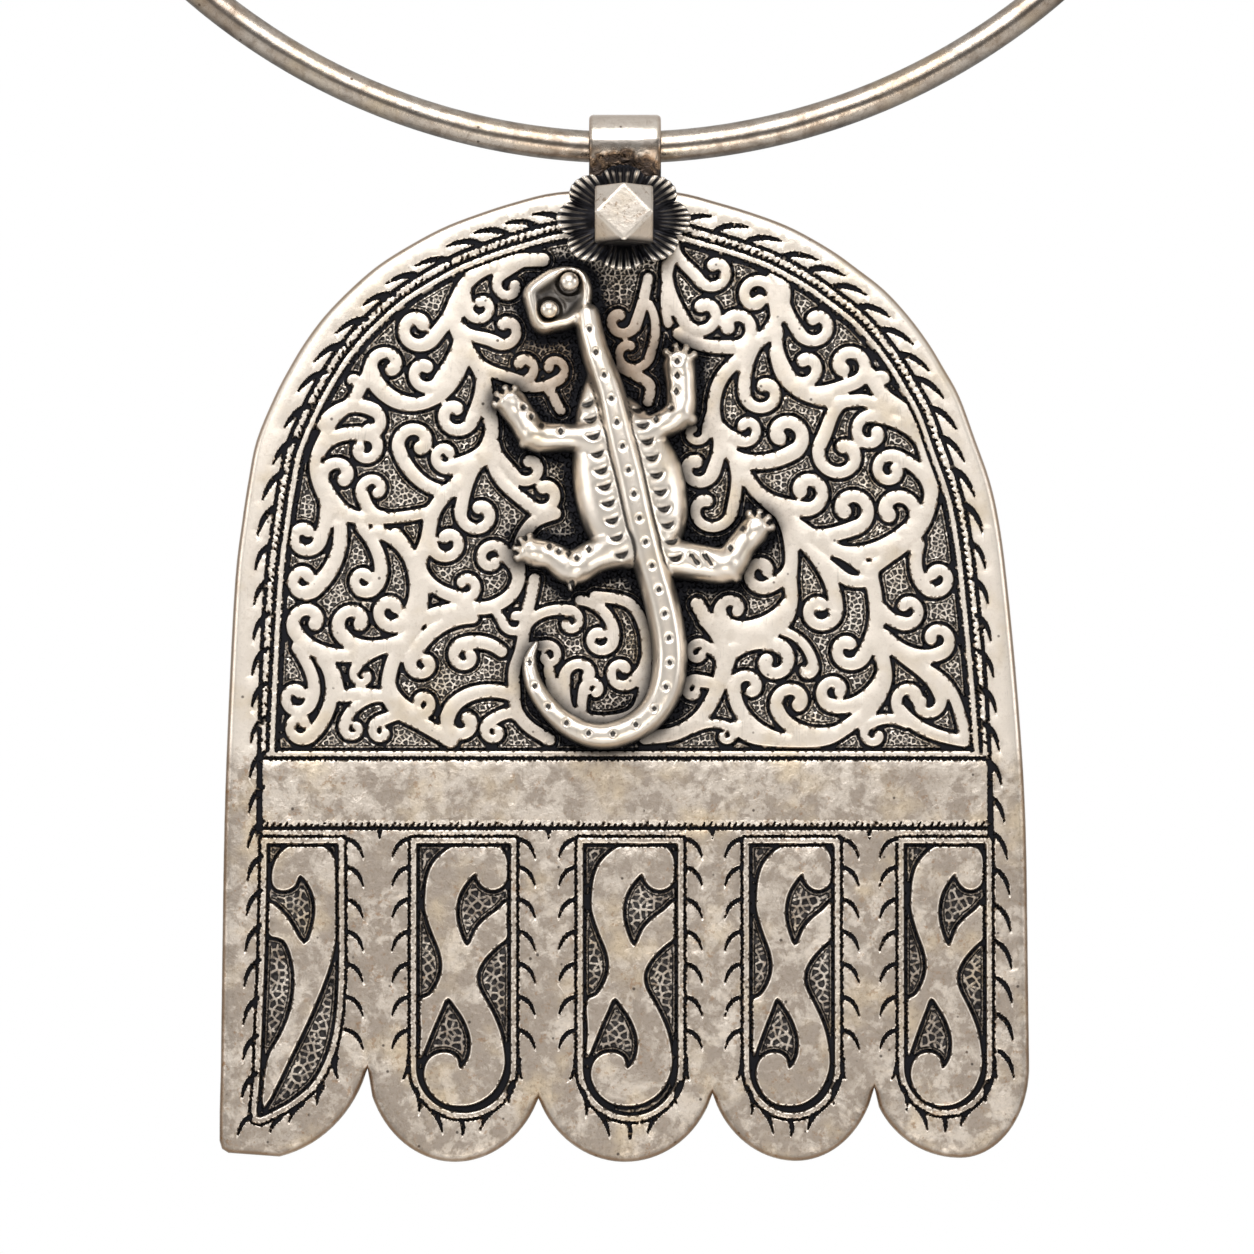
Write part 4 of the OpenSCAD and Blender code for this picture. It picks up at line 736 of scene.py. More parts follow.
def border_cuts(chart, cuts, outline):
    """The rim's thorns, and the slanting nicks that make the border's raised line a rope."""
    for a, b, c, d in EDGE_TIPS:
        for tip, s in (([a, b], -1), ([c, d], 1)):
            inward = np.array([0, min(tip[1], 16)]) - tip
            inward /= np.linalg.norm(inward)
            root = tip + 1.35 * inward + 3.3 * s * np.array([inward[1], -inward[0]])
            cut_thorn(chart, cuts, root, tip, 0.12 * s, 0.27)
    for i in range(16):
        left = [-36.9 - 0.08 * i, 17.65 - 3.45 * i - 0.3 * max(i - 12, 0)]
        right = [35.95 + 0.26 * min(i, 9) + 0.07 * max(i - 9, 0), 17.9 - 3.62 * i]
        for tip, s, lowest in ((left, -1, -36), (right, 1, -33)):
            if tip[1] > lowest:
                cut_thorn(chart, cuts, [tip[0] - 1.5 * s, tip[1] + 2.8], tip, 0.15 * s, 0.22)
    length = np.linalg.norm(np.roll(outline, -1, 0) - outline, axis=1)
    run = np.concatenate([[0], np.cumsum(length)])
    at = np.arange(0.4, run[-1], ROPE_PITCH)

    def rope_side(depth, shift):
        line = inset(outline, depth)
        line = np.vstack([line, line[:1]])
        return np.stack([np.interp(at + shift, run, line[:, k]) for k in (0, 1)], 1)

    for p, q in zip(*(rope_side(*side) for side in ROPE_SIDES)):
        if min(p[1], q[1]) > 0.3:
            chart.stroke(cuts, [p, q], [0.03, 0.1], 0.5)


def band_cuts(chart, cuts):
    """The lines of the plain band under the palm, the nicks along its foot, and the small
    notches between the finger frames."""
    for v, half in ((BAND_TOP, 0.15), (BAND_FOOT, 0.16)):
        chart.stroke(cuts, [[-BAND_HALF, v], [BAND_HALF, v]], half, CUT_REACH)
    for u in (-36.25, 36.25):
        chart.stroke(cuts, [[u, -0.7], [u, -8.6]], 0.13, CUT_REACH)
    for u in np.arange(-35.7, 36.0, 0.63):
        nick = [[u, -7.62], [u + 0.16, -7.35], [u + 0.42, -7.1]]
        chart.stroke(cuts, nick, [0.09, 0.06, 0.03], 0.4)
    for u in np.arange(-35.4, 36.0, 0.55):
        chart.stroke(cuts, [[u, -0.98], [u + 0.12, -1.14]], [0.08, 0.03], 0.4)
    for u in (-24.4, -7.6, 8.7, 24.3):
        chart.stroke(cuts, [[u, -8.0], [u, -8.9]], [0.24, 0.04], CUT_REACH)


def plate_piece(look):
    """The plate's front is a height over its plane that depends only on the distance charts; its
    points follow the charts' contours. The rim is the outline moved inwards row by row, and the
    back is flat."""
    chart = Chart(PLATE_STEP, *PLATE_AREA)
    relief, edge, outline = plate_fields(chart)
    loop = inset(outline, LIP)
    inside = chart.inside(loop).astype(float)
    profile = np.array(GROUND_PROFILE)
    pts = [chart.contour(relief, level, EDGE_PITCH if level < 0.2 else GROUND_PITCH)
           for level in profile[:-1, 0]]
    plain = lattice(*PLATE_AREA, PLAIN_PITCH)
    away = chart.at(relief, plain)
    pts = np.vstack(pts + [plain[(away < -0.5) | (away > 0.9)]])
    pts = pts[(chart.at(edge, pts) > 1.0) & (chart.at(inside, pts) > 0.99)]
    front, faces = triangles_inside(loop, pts)
    n = len(loop)
    distance = chart.at(relief, front)
    depth = np.interp(distance, *profile.T) * look.ground_depth / profile[:, 1].max()
    depth[:n] = 0
    rim = [upright(inset(outline, d), y) for d, y in RIM[:-1]]
    plain = plain[(chart.at(edge, plain) > 2) & (chart.at(inside, plain) > 0.99)]
    back, back_faces = triangles_inside(inset(outline, RIM[-1][0]), plain)
    verts = np.vstack([upright(front, FACE + depth)] + rim + [upright(back, BACK)])
    i = np.arange(n)
    j = (i + 1) % n
    starts = [0] + [len(front) + k * n for k in range(len(RIM))]
    walls = [np.stack([a + i, b + i, b + j, a + j], 1) for a, b in zip(starts[:-1], starts[1:])]
    faces = [faces, np.vstack(walls), back_faces[:, ::-1] + starts[-1]]
    # nape marks where a shadow is painted about the lizard's neck
    nape = np.exp(-(((front[:, 0] + 3) / 8) ** 2 + ((front[:, 1] - 39.5) / 7) ** 2) ** 2)
    pad = len(verts) - len(front)
    # the distance from the lizard, stored here, sets where the finish paints the lizard's shadow
    attributes = {
        "chase": np.concatenate([np.clip(distance, -1, 1.5), np.full(pad, -1.0)]),
        "halo": np.concatenate([lizard_distance(front), np.full(pad, HALO)]),
        "nape": np.concatenate([nape, np.zeros(pad)]),
        "rim": np.concatenate([np.clip(chart.at(edge, front), 0, 3),
                               np.repeat([d for d, _ in RIM[:-1]], n), np.full(len(back), 3.0)]),
    }
    attributes["chase"][:n] = -1
    return put_mesh("plate_chased", verts, faces, attributes, sharp=38)


# ---- the lizard ----


def lizard_parts():
    """Rows of across, up, half width and height for every part of the lizard but its head."""
    parts = [smooth_line(TRUNK, 5)] + [smooth_line(leg, 5) for leg in LEGS]
    parts += [np.array(heel, float) for heel in HEELS]
    for u, v, r, aim, step in PAWS:
        parts.append(np.array([[u, v, r - 0.4, 2.3], [u + 0.01, v, r - 0.4, 2.3]]))
        for k in (-1.5, -0.5, 0.5, 1.5):
            away = turned(aim + k * step)
            toe = [[u, v] + away * (r - 0.8), [u, v] + away * (r - 0.25)]
            parts.append(np.column_stack([toe, [0.6, 0.53], [2.2, 1.9]]))
    return parts


def dome(pts, rows, power=2.9):
    """The height of a rounded stroke at some points: at its middle line the row's height, and
    falling like an ellipse to nothing at its half width. Also the distance inside its edge."""
    height = np.zeros(len(pts))
    depth = np.full(len(pts), -9.0)
    for a, b in zip(rows[:-1], rows[1:]):
        side = b[:2] - a[:2]
        t = np.clip(((pts - a[:2]) @ side) / max(side @ side, 1e-9), 0, 1)
        r = np.linalg.norm(pts - a[:2] - t[:, None] * side, axis=1)
        w = a[2] + (b[2] - a[2]) * t
        h = a[3] + (b[3] - a[3]) * t
        height = np.maximum(height, h * np.sqrt(np.clip(1 - (r / w) ** power, 0, None)))
        depth = np.maximum(depth, w - r)
    return height, depth


def loop_depth(pts, loop):
    """How far inside a closed line each point is, negative outside."""
    best = np.full(len(pts), 99.0)
    inside = np.zeros(len(pts), bool)
    for a, b in zip(loop, np.roll(loop, -1, 0)):
        side = b - a
        t = np.clip(((pts - a) @ side) / (side @ side), 0, 1)
        best = np.minimum(best, np.linalg.norm(pts - a - t[:, None] * side, axis=1))
        if a[1] != b[1]:
            rows = (pts[:, 1] > min(a[1], b[1])) & (pts[:, 1] <= max(a[1], b[1]))
            inside ^= rows & (pts[:, 0] < a[0] + (pts[:, 1] - a[1]) / side[1] * side[0])
    return np.where(inside, best, -best)


def lizard_distance(pts):
    """The distance from the lizard's foot on the plate to each point, zero under it."""
    chart = Chart(HALO_STEP, *HALO_AREA)
    field = chart.blank()
    for rows in lizard_parts() + [smooth_line(SPINE, 4)]:
        chart.stroke(field, rows[:, :2], rows[:, 2], HALO)
    field = np.minimum(field, chart.loop(smooth_line(HEAD, 2, closed=True), HALO))
    inside = ((pts > chart.low + 0.5) & (pts < np.array([17.0, 51.0]))).all(1)
    far = np.full(len(pts), HALO)
    far[inside] = chart.at(field, pts[inside])
    return np.clip(far, 0, HALO)


def punch(pts, height, marks, size, depth):
    """Lowers the height inside each mark, a diamond that is a little higher than wide."""
    for u, v in marks:
        near = (np.abs(pts - [u, v]) < 3 * size).all(1)
        d = np.abs(pts[near, 0] - u) / size + np.abs(pts[near, 1] - v) / (size * 1.25)
        height[near] -= depth * np.clip(1.3 - d, 0, 1)
    return height


def spine_places(start, end, pitch):
    """Points along the back, and its direction there."""
    line = smooth_line(SPINE, 8)
    run = np.concatenate([[0], np.cumsum(np.linalg.norm(np.diff(line[:, :2], axis=0), axis=1))])
    at = np.arange(start, min(end, run[-1]), pitch)
    here = np.stack([np.interp(at, run, line[:, k]) for k in range(4)], 1)
    ahead = np.stack([np.interp(at + 0.2, run, line[:, k]) for k in (0, 1)], 1)
    way = ahead - here[:, :2]
    return here, way / np.linalg.norm(way, axis=1, keepdims=True)


def lizard_height(pts):
    """The lizard's height over its foot. The trunk, legs and toes join by a power sum, and the
    back with its tail lies on them with a crease; the head is a dish with a rounded rim and two
    balls. Returns the height, how far each point is inside the outline, and how deep in a mark."""
    total = np.zeros(len(pts))
    depth = np.full(len(pts), -9.0)
    for rows in lizard_parts():
        near = ((pts > rows[:, :2].min(0) - 6) & (pts < rows[:, :2].max(0) + 6)).all(1)
        h, d = dome(pts[near], rows)
        total[near] += h ** 5
        depth[near] = np.maximum(depth[near], d)
    body = total ** 0.2
    plain = body.copy()
    ribs, way = spine_places(*RIBS)
    for s in (-1, 1):
        for row, w in zip(ribs, way):
            normal = np.array([-w[1], w[0]]) * s
            middle = row[:2] + normal * (row[2] + 0.7)
            near = (np.abs(pts - middle) < 1.6).all(1)
            across = (pts[near] - middle) @ normal / 0.8
            along = (pts[near] - middle) @ w
            bend = along + 0.4 * across ** 2 - 0.2
            groove = np.exp(-(bend / 0.24) ** 2) * np.clip(1.15 - np.abs(across), 0, 1)
            body[near] -= 0.7 * groove
    body = punch(pts, body, LEG_MARKS, *LEG_PUNCH)
    slits = []
    for u, v, r, aim, step in PAWS:
        for way in (turned(aim + k * step) for k in (-1, 0, 1)):
            slits.append([*([u, v] + way * (r - 0.5)), *([u, v] + way * (r + 0.4))])
    for a, b, c, d in LEG_CUTS + slits:
        body -= dome(pts, np.array([[a, b, 0.24, 0.6], [c, d, 0.2, 0.5]]))[0]
    back, d = dome(pts, smooth_line(SPINE, 6), 3.2)
    depth = np.maximum(depth, d)
    marks, _ = spine_places(*BACK_MARKS)
    whole = back.copy()
    back = punch(pts, back, marks[:, :2], *BACK_PUNCH)
    crease = np.exp(-((whole - plain - 0.25) / 0.4) ** 2) * (np.minimum(whole, plain) > 0.6)
    carved = np.where(whole > plain, (whole - back) / 0.3, (plain - body) / LEG_PUNCH[0])
    carved = np.clip(np.maximum(carved, 0.9 * crease), 0, 1)
    rim = loop_depth(pts, smooth_line(HEAD, 3, closed=True))
    depth = np.maximum(depth, rim)
    thick = 1.15 + 0.4 * np.clip((-5.5 - pts[:, 0]) / 4, -1, 1)
    head = np.interp(np.clip(rim, 0, None) / thick, *np.transpose(HEAD_PROFILE))
    for u, v, r in EYES:
        far = np.hypot(pts[:, 0] - u, pts[:, 1] - v)
        collar = 2.0 * np.exp(-((far - r - 0.5) / 0.22) ** 2)
        moat = np.clip((far - r) / 0.3, 0, 1)
        head = np.where(far < r, 1.3, np.maximum(head * (0.4 + 0.6 * moat), collar))
    height = np.maximum(np.maximum(body, 0), np.maximum(back, np.where(rim > 0, head, 0)))
    return height, depth, carved


def border_edges(faces):
    """The edges of triangles that no other triangle shares."""
    edges = np.vstack([faces[:, [0, 1]], faces[:, [1, 2]], faces[:, [2, 0]]]).astype(np.int64)
    count = faces.max() + 1
    return edges[~np.isin(edges[:, 0] * count + edges[:, 1], edges[:, 1] * count + edges[:, 0])]


def directions(rows, columns, reach):
    """Unit directions in rows of latitude, up to reach degrees from the equator. The poles lie
    to the front and the back."""
    lat = np.radians(np.linspace(-reach, reach, rows))[:, None]
    lon = np.linspace(0, 2 * np.pi, columns, endpoint=False)[None, :]
    return np.stack([np.cos(lat) * np.cos(lon), np.sin(lat) + 0 * lon,
                     np.cos(lat) * np.sin(lon)], -1)


def lizard_piece(look):
    """The lizard's height over a flat mesh whose points follow its outline, softened away from
    the edges and marks, with a wall down to the plate, and a ball in each eye's socket."""
    chart = Chart(LIZARD_STEP, *LIZARD_AREA)
    grid = np.stack(np.meshgrid(chart.u, chart.v), -1).reshape(-1, 2)
    soft, depth, _ = lizard_height(grid)
    field = -depth.reshape(len(chart.v), len(chart.u))
    soft = soft.reshape(field.shape)
    for _ in range(3):
        soft = (np.roll(soft, 1, 0) + 2 * soft + np.roll(soft, -1, 0)) / 4
        soft = (np.roll(soft, 1, 1) + 2 * soft + np.roll(soft, -1, 1)) / 4
    pts = [chart.contour(field, level, pitch) for level, pitch in
           ((-0.02, LIZARD_PITCH), (-0.1, LIZARD_PITCH), (-0.24, 0.22), (-0.45, 0.24))]
    fill = lattice(*LIZARD_AREA, LIZARD_PITCH)
    pts.append(fill[chart.at(field, fill) < -0.58])
    far = np.array([[-17, -3], [18.5, -3], [18.5, 51.5], [-17, 51.5]], float)
    flat, faces = triangles_inside(far, np.vstack(pts))
    faces = faces[chart.at(field, flat[faces].mean(1)) < -0.005]
    for _ in range(8):
        pinched = np.flatnonzero(np.bincount(border_edges(faces)[:, 0]) > 1)
        faces = faces[~np.isin(faces, pinched).any(1)]
    used, index = np.unique(faces, return_inverse=True)
    flat, faces = flat[used], index.reshape(-1, 3)
    height, depth, carved = lizard_height(flat)
    share = np.clip(depth / 0.5 - 0.3, 0, 1) * (1 - 0.7 * carved)
    height = height * (1 - share) + chart.at(soft, flat) * share
    height = np.clip(height * look.lizard_height / LIZARD_TOP, 0.04, None)
    base = FACE - 0.05
    border = border_edges(faces)
    n = len(flat)
    top, low = upright(flat, base - height), upright(flat, base)
    wall = np.stack([border[:, 0], border[:, 0] + n, border[:, 1] + n, border[:, 1]], 1)
    hollow = np.clip(loop_depth(flat, smooth_line(HEAD, 3, closed=True)) - 0.95, 0, 0.5) / 0.5
    for u, v, r in EYES:
        hollow = np.maximum(hollow, np.hypot(flat[:, 0] - u, flat[:, 1] - v) < r + 0.22)
    shells = [(np.vstack([top, low]), [faces, faces[:, ::-1] + n, wall])]
    for u, v, r in EYES:
        shells.append(tube([u, base - EYE_HEIGHT, FOOT + v] + r * directions(17, 28, 88)))
    verts, groups = joined(shells)
    pad = np.zeros(len(verts) - 2 * n)
    # inside: how far in from the outline; the finish paints oxide and shade on the sides by it
    attributes = {
        "inside": np.concatenate([np.clip(depth, 0, 3), np.zeros(n), pad + 3]),
        "hollow": np.concatenate([hollow, np.zeros(n), pad]),
        "carved": np.concatenate([carved, np.zeros(n), pad]),
    }
    return put_mesh("lizard_cast", verts, groups, attributes)


# ---- bail, rosette, boss, neck ring and clasp ----


def tube(rows, ends="fan"):
    """Faces between rows of points. Each row is closed; the two ends are closed by a fan round
    their middle, or joined to each other."""
    rows = np.asarray(rows, float)
    m, n = rows.shape[:2]
    verts = rows.reshape(-1, 3)
    i, k = np.meshgrid(np.arange(n), np.arange(m if ends == "join" else m - 1))
    a, b = k * n + i, k * n + (i + 1) % n
    c, d = (k + 1) % m * n + (i + 1) % n, (k + 1) % m * n + i
    quads = np.stack([a, b, c, d], -1).reshape(-1, 4)
    if ends == "join":
        return verts, [quads]
    verts = np.vstack([verts, rows[0].mean(0), rows[-1].mean(0)])
    i = np.arange(n)
    j = (i + 1) % n
    first = np.stack([j, i, np.full(n, m * n)], 1)
    last = np.stack([(m - 1) * n + i, (m - 1) * n + j, np.full(n, m * n + 1)], 1)
    return verts, [quads, np.vstack([first, last])]


def turned_out(verts, groups):
    """Turns every face round when the closed shell's volume comes out negative."""
    volume = 0.0
    for g in groups:
        for k in range(1, g.shape[1] - 1):
            a, b, c = verts[g[:, 0]], verts[g[:, k]], verts[g[:, k + 1]]
            volume += (a * np.cross(b, c)).sum()
    return groups if volume > 0 else [g[:, ::-1] for g in groups]


def joined(shells):
    """Several shells as one set of points and faces, each turned outwards first."""
    verts, faces, start = [], [], 0
    for v, groups in shells:
        for g in turned_out(v, groups):
            faces.append(g + start)
        verts.append(v)
        start += len(v)
    return np.vstack(verts), faces


def middle_of(low, high):
    """The middle of a box."""
    return (low + high) / 2


def rosette_piece():
    """A polar surface: its radius is an ellipse with eight lobes that meet in cusps, its depth a
    dish whose rim turns forward, and the outer part of each lobe is crimped by a wave."""
    middle = middle_of(ROSETTE_LOW, ROSETTE_HIGH)
    middle[1] = ROSETTE_HIGH[1]
    rx, _, rz = (ROSETTE_HIGH - ROSETTE_LOW) / 2 - 0.02
    deep = ROSETTE_HIGH[1] - ROSETTE_LOW[1]
    profile = smooth_line(ROSETTE_PROFILE, 3)
    t = np.linspace(0, 2 * np.pi, ROSETTE_COLUMNS, endpoint=False)
    f, y, c = (profile[:, k:k + 1] for k in range(3))
    fold = np.abs(np.cos(4 * t)) ** 0.6
    lobe = 0.83 + 0.17 * fold + 0.015 * np.cos(3 * t + 1)
    wave = np.cos(FLUTES * t + 1.6 * np.sin(3 * t) + 0.9 * np.sin(7 * t))
    radius = f * (1 + (lobe - 1) * np.clip(f * 1.3 - 0.3, 0, 1)) * (1 + 0.006 * c * wave)
    lift = y * (0.7 + 0.3 * fold) * deep * 0.9 + 0.12 * c * wave
    rows = np.stack([middle[0] + rx * radius * np.cos(t),
                     np.minimum(middle[1] - lift, middle[1]),
                     middle[2] + rz * radius * np.sin(t)], -1)
    verts, faces = tube(rows)
    valley = np.append(0.5 - 0.5 * wave * c, [0, 0])
    # how far out each row lies; the finish paints the boss's shadow over the middle of the dish by
    # it
    reach = np.append(f + 0 * t, [0, 0])
    crease = np.append((1 - fold) * np.clip(f * 3 - 1, 0, 1), [0, 0])
    # the crease mark also darkens the rosette's top middle, within 2.6 mm across
    rise = np.clip((verts[:, 2] - middle[2]) / rz * 4 - 2.9, 0, 1)
    crease = np.maximum(crease, rise * (np.abs(verts[:, 0] - middle[0]) < 2.6))
    return put_mesh("rosette_crimped", verts, turned_out(verts, faces),
                    {"valley": valley, "reach": reach, "crease": crease})


def boss_piece():
    """A cube with its corners cut to the middles of its edges. In each direction the radius is
    one over a power sum of that direction's parts along the fourteen faces' normals, so the
    edges come out slightly rounded. A shank and a rivet's head stand behind it."""
    half = (BOSS_HIGH[0] - BOSS_LOW[0]) / 2
    centre = middle_of(BOSS_LOW, BOSS_HIGH)
    centre[1] = BOSS_LOW[1] + half
    signs = (-1, 1)
    corners = np.array([[a, b, c] for a in signs for b in signs for c in signs]) / math.sqrt(3)
    planes = np.vstack([np.eye(3) / half, -np.eye(3) / half, corners / (2 * half / math.sqrt(3))])
    way = directions(100, 160, 89)
    parts = np.clip(way @ planes.T, 0, None)
    radius = (parts ** BOSS_POWER).sum(-1) ** (-1 / BOSS_POWER)
    block = tube(centre + way * radius[..., None])
    t = np.linspace(0, 2 * np.pi, 48, endpoint=False)
    start, back = centre[1] + half - 0.3, BOSS_HIGH[1]

    def turned_rows(profile):
        r, y = (np.array(profile)[:, k:k + 1] for k in (0, 1))
        return tube(np.stack([centre[0] + r * np.cos(t), y + 0 * t, centre[2] + r * np.sin(t)], -1))

    shank = turned_rows([[1.1, start], [1.1, back - 0.5]])
    rivet = turned_rows([[1.3, back - 0.7], [1.86, back - 0.7], [1.9, back - 0.6],
                         [1.82, back - 0.42], [1.6, back - 0.22], [1.2, back - 0.07], [0.6, back],
                         [0.2, back]])
    verts, faces = joined([block, shank, rivet])
    # under marks the boss's underside, where the finish paints shade
    low = (centre[2] - verts[:, 2]) / half
    under = np.clip((low - 0.80) / 0.16, 0, 1) * (verts[:, 1] > centre[1] - 0.97 * half)
    return put_mesh("boss_faceted", verts, faces, {"under": under}, sharp=40)


def bail_piece():
    """The strap's side profile, carried across its width, with its edges drawn in at both ends
    to round them."""
    out_r = BAIL_HIGH[2] - WIRE_Z
    strap = out_r - STRAP_BORE
    leg = BAIL_LOW[2] - WIRE_Z
    gap = FACE - 0.05
    half = (BAIL_HIGH[0] - BAIL_LOW[0]) / 2
    outer = smooth_line([[gap - strap, leg + 0.2], [gap - strap, -6.0], [gap - strap - 0.02, -4.4],
                         [gap - strap - 0.35, -2.9]], 4)
    dome_out = arc([0, 0], out_r, out_r, 205, -25, 5)
    inner = smooth_line([[gap, leg], [gap, -6.0], [gap - 0.03, -4.2], [-1.42, -2.6]], 4)
    bore = arc([0, 0], STRAP_BORE, STRAP_BORE, 228, -48, 6)
    loop = np.vstack([outer, dome_out, outer[::-1] * [-1, 1], inner * [-1, 1], bore[::-1],
                      inner[::-1]])
    loop = loop[np.append(np.linalg.norm(np.diff(loop, axis=0), axis=1) > 0.02, True)]
    area = (loop[:, 0] * np.roll(loop[:, 1], -1) - np.roll(loop[:, 0], -1) * loop[:, 1]).sum()
    loop = loop if area > 0 else loop[::-1]
    side = [(half - x, inset(loop, d)) for x, d in STRAP_EDGE]
    rows = side + [(x, loop) for x in np.linspace(half - 0.9, -half + 0.9, 12)]
    rows += [(-x, p) for x, p in side[::-1]]
    body = [np.stack([np.full(len(p), x), p[:, 0], WIRE_Z + p[:, 1]], 1) for x, p in rows]
    verts, (quads, _) = tube(body)
    verts = verts[:-2]
    flat, cap = triangles_inside(rows[0][1], np.zeros((0, 2)))
    if len(flat) != len(loop):
        raise RuntimeError("the bail's profile crosses itself")
    ends = np.vstack([cap, cap[:, ::-1] + (len(rows) - 1) * len(loop)])
    return put_mesh("bail_strap", verts, turned_out(verts, [quads, ends[:, ::-1]]), sharp=50)


def ring_point(turn, radius, around):
    """A point beside the ring's middle line: turn is the angle round the neck ring, radius the
    distance from the middle line, around the angle about that line."""
    out = RING_R + radius * np.cos(around)
    return np.stack([out * np.cos(turn), radius * np.sin(around) + 0 * turn,
                     RING_Z + out * np.sin(turn)], -1)


def ring_piece():
    """A round wire swept round the ring from one end of its gap at the nape to the other, with
    domed ends."""
    first = math.radians(RING_GAP)
    last = 2 * np.pi - first
    turn = np.pi / 2 + np.concatenate([[first, first + 0.002, first + 0.006],
                                       np.linspace(first + 0.012, last - 0.012, WIRE_ROWS),
                                       [last - 0.006, last - 0.002, last]])
    thick = np.full(len(turn), 1.0)
    thick[:2] = thick[-2:][::-1] = [0.8, 0.94]
    around = np.linspace(0, 2 * np.pi, WIRE_SIDES, endpoint=False)
    rows = ring_point(turn[:, None], WIRE_R * thick[:, None], around[None, :])
    verts, faces = tube(rows)
    # outer: how far round to the outside each point lies; the finish paints reflection bands by it
    outer = np.append(np.tile(np.cos(around), len(rows)), [0, 0])
    return put_mesh("ring_wire", verts, turned_out(verts, faces), {"outer": outer})


def clasp_piece():
    """A barrel swept along a short arc of the ring: out over its round lips, and back through
    its bore."""
    reach = math.radians(CLASP_REACH)
    bore, lip = WIRE_R + 0.05, CLASP_LIP
    profile = [[-reach, bore + 0.25], [-reach, CLASP_R - 0.3], [-reach + lip * 0.3, CLASP_R - 0.1],
               [-reach + lip, CLASP_R]]
    profile += [[a, CLASP_R] for a in np.linspace(-reach + 0.02, reach - 0.02, 24)]
    profile += [[-a, r] for a, r in profile[3::-1]]
    profile += [[reach - lip * 0.6, bore]]
    profile += [[a, bore] for a in np.linspace(reach - 0.02, -reach + 0.02, 16)]
    profile = np.array(profile + [[-reach + lip * 0.6, bore]])
    around = np.linspace(0, 2 * np.pi, CLASP_SIDES, endpoint=False)
    rows = ring_point(np.pi / 2 + profile[:, :1], profile[:, 1:], around[None, :])
    verts, faces = tube(rows, ends="join")
    return put_mesh("clasp_barrel", verts, turned_out(verts, faces), sharp=60)


# ---- finishes ----


def math_step(operation, reflected=False):
    """A method that adds one Math node. Its two values change places when it is reflected."""
    if reflected:
        return lambda self, other: self.nodes.math(operation, other, self)
    return lambda self, other: self.nodes.math(operation, self, other)


class Amount:
    """A number that varies over a surface. Arithmetic on it adds Math nodes to its tree."""

    __add__, __radd__ = math_step("ADD"), math_step("ADD", True)
    __sub__, __rsub__ = math_step("SUBTRACT"), math_step("SUBTRACT", True)
    __mul__, __rmul__ = math_step("MULTIPLY"), math_step("MULTIPLY", True)
    __truediv__ = math_step("DIVIDE")
    larger, smaller = math_step("MAXIMUM"), math_step("MINIMUM")

    def __init__(self, nodes, socket):
        self.nodes, self.socket = nodes, socket

    def rise(self, low, high, top=1.0, bottom=0.0):
        """Bottom below low, top above high, and a smooth step between."""
        made = self.nodes.node("ShaderNodeMapRange", {"interpolation_type": "SMOOTHSTEP"}, {
            "Value": self, "From Min": low, "From Max": high, "To Min": bottom, "To Max": top})
        return Amount(self.nodes, made.outputs["Result"])


class Nodes:
    """A node tree, emptied first."""

    def __init__(self, tree):
        self.tree = tree
        tree.nodes.clear()

    def node(self, kind, settings=None, inputs=None):
        """A node of a kind, with its settings made first and then its sockets fed."""
        made = self.tree.nodes.new(kind)
        for key, value in (settings or {}).items():
            if key == "stops":
                ramp = made.color_ramp
                while len(ramp.elements) < len(value):
                    ramp.elements.new(0.5)
                for element, (place, colour) in zip(ramp.elements, value):
                    element.position, element.color = place, colour
            else:
                setattr(made, key, value)
        for key, value in (inputs or {}).items():
            socket = made.inputs[key]
            if isinstance(value, Amount):
                value = value.socket
            if isinstance(value, bpy.types.NodeSocket):
                self.tree.links.new(value, socket)
            else:
                socket.default_value = value
        return made

    def math(self, operation, *values):
        """One Math node's result."""
        made = self.node("ShaderNodeMath", {"operation": operation}, dict(enumerate(values)))
        return Amount(self, made.outputs[0])

    def axes(self, place):
        """The three parts of a place: across, back and up."""
        split = self.node("ShaderNodeSeparateXYZ", {}, {0: place})
        return [Amount(self, part) for part in split.outputs]


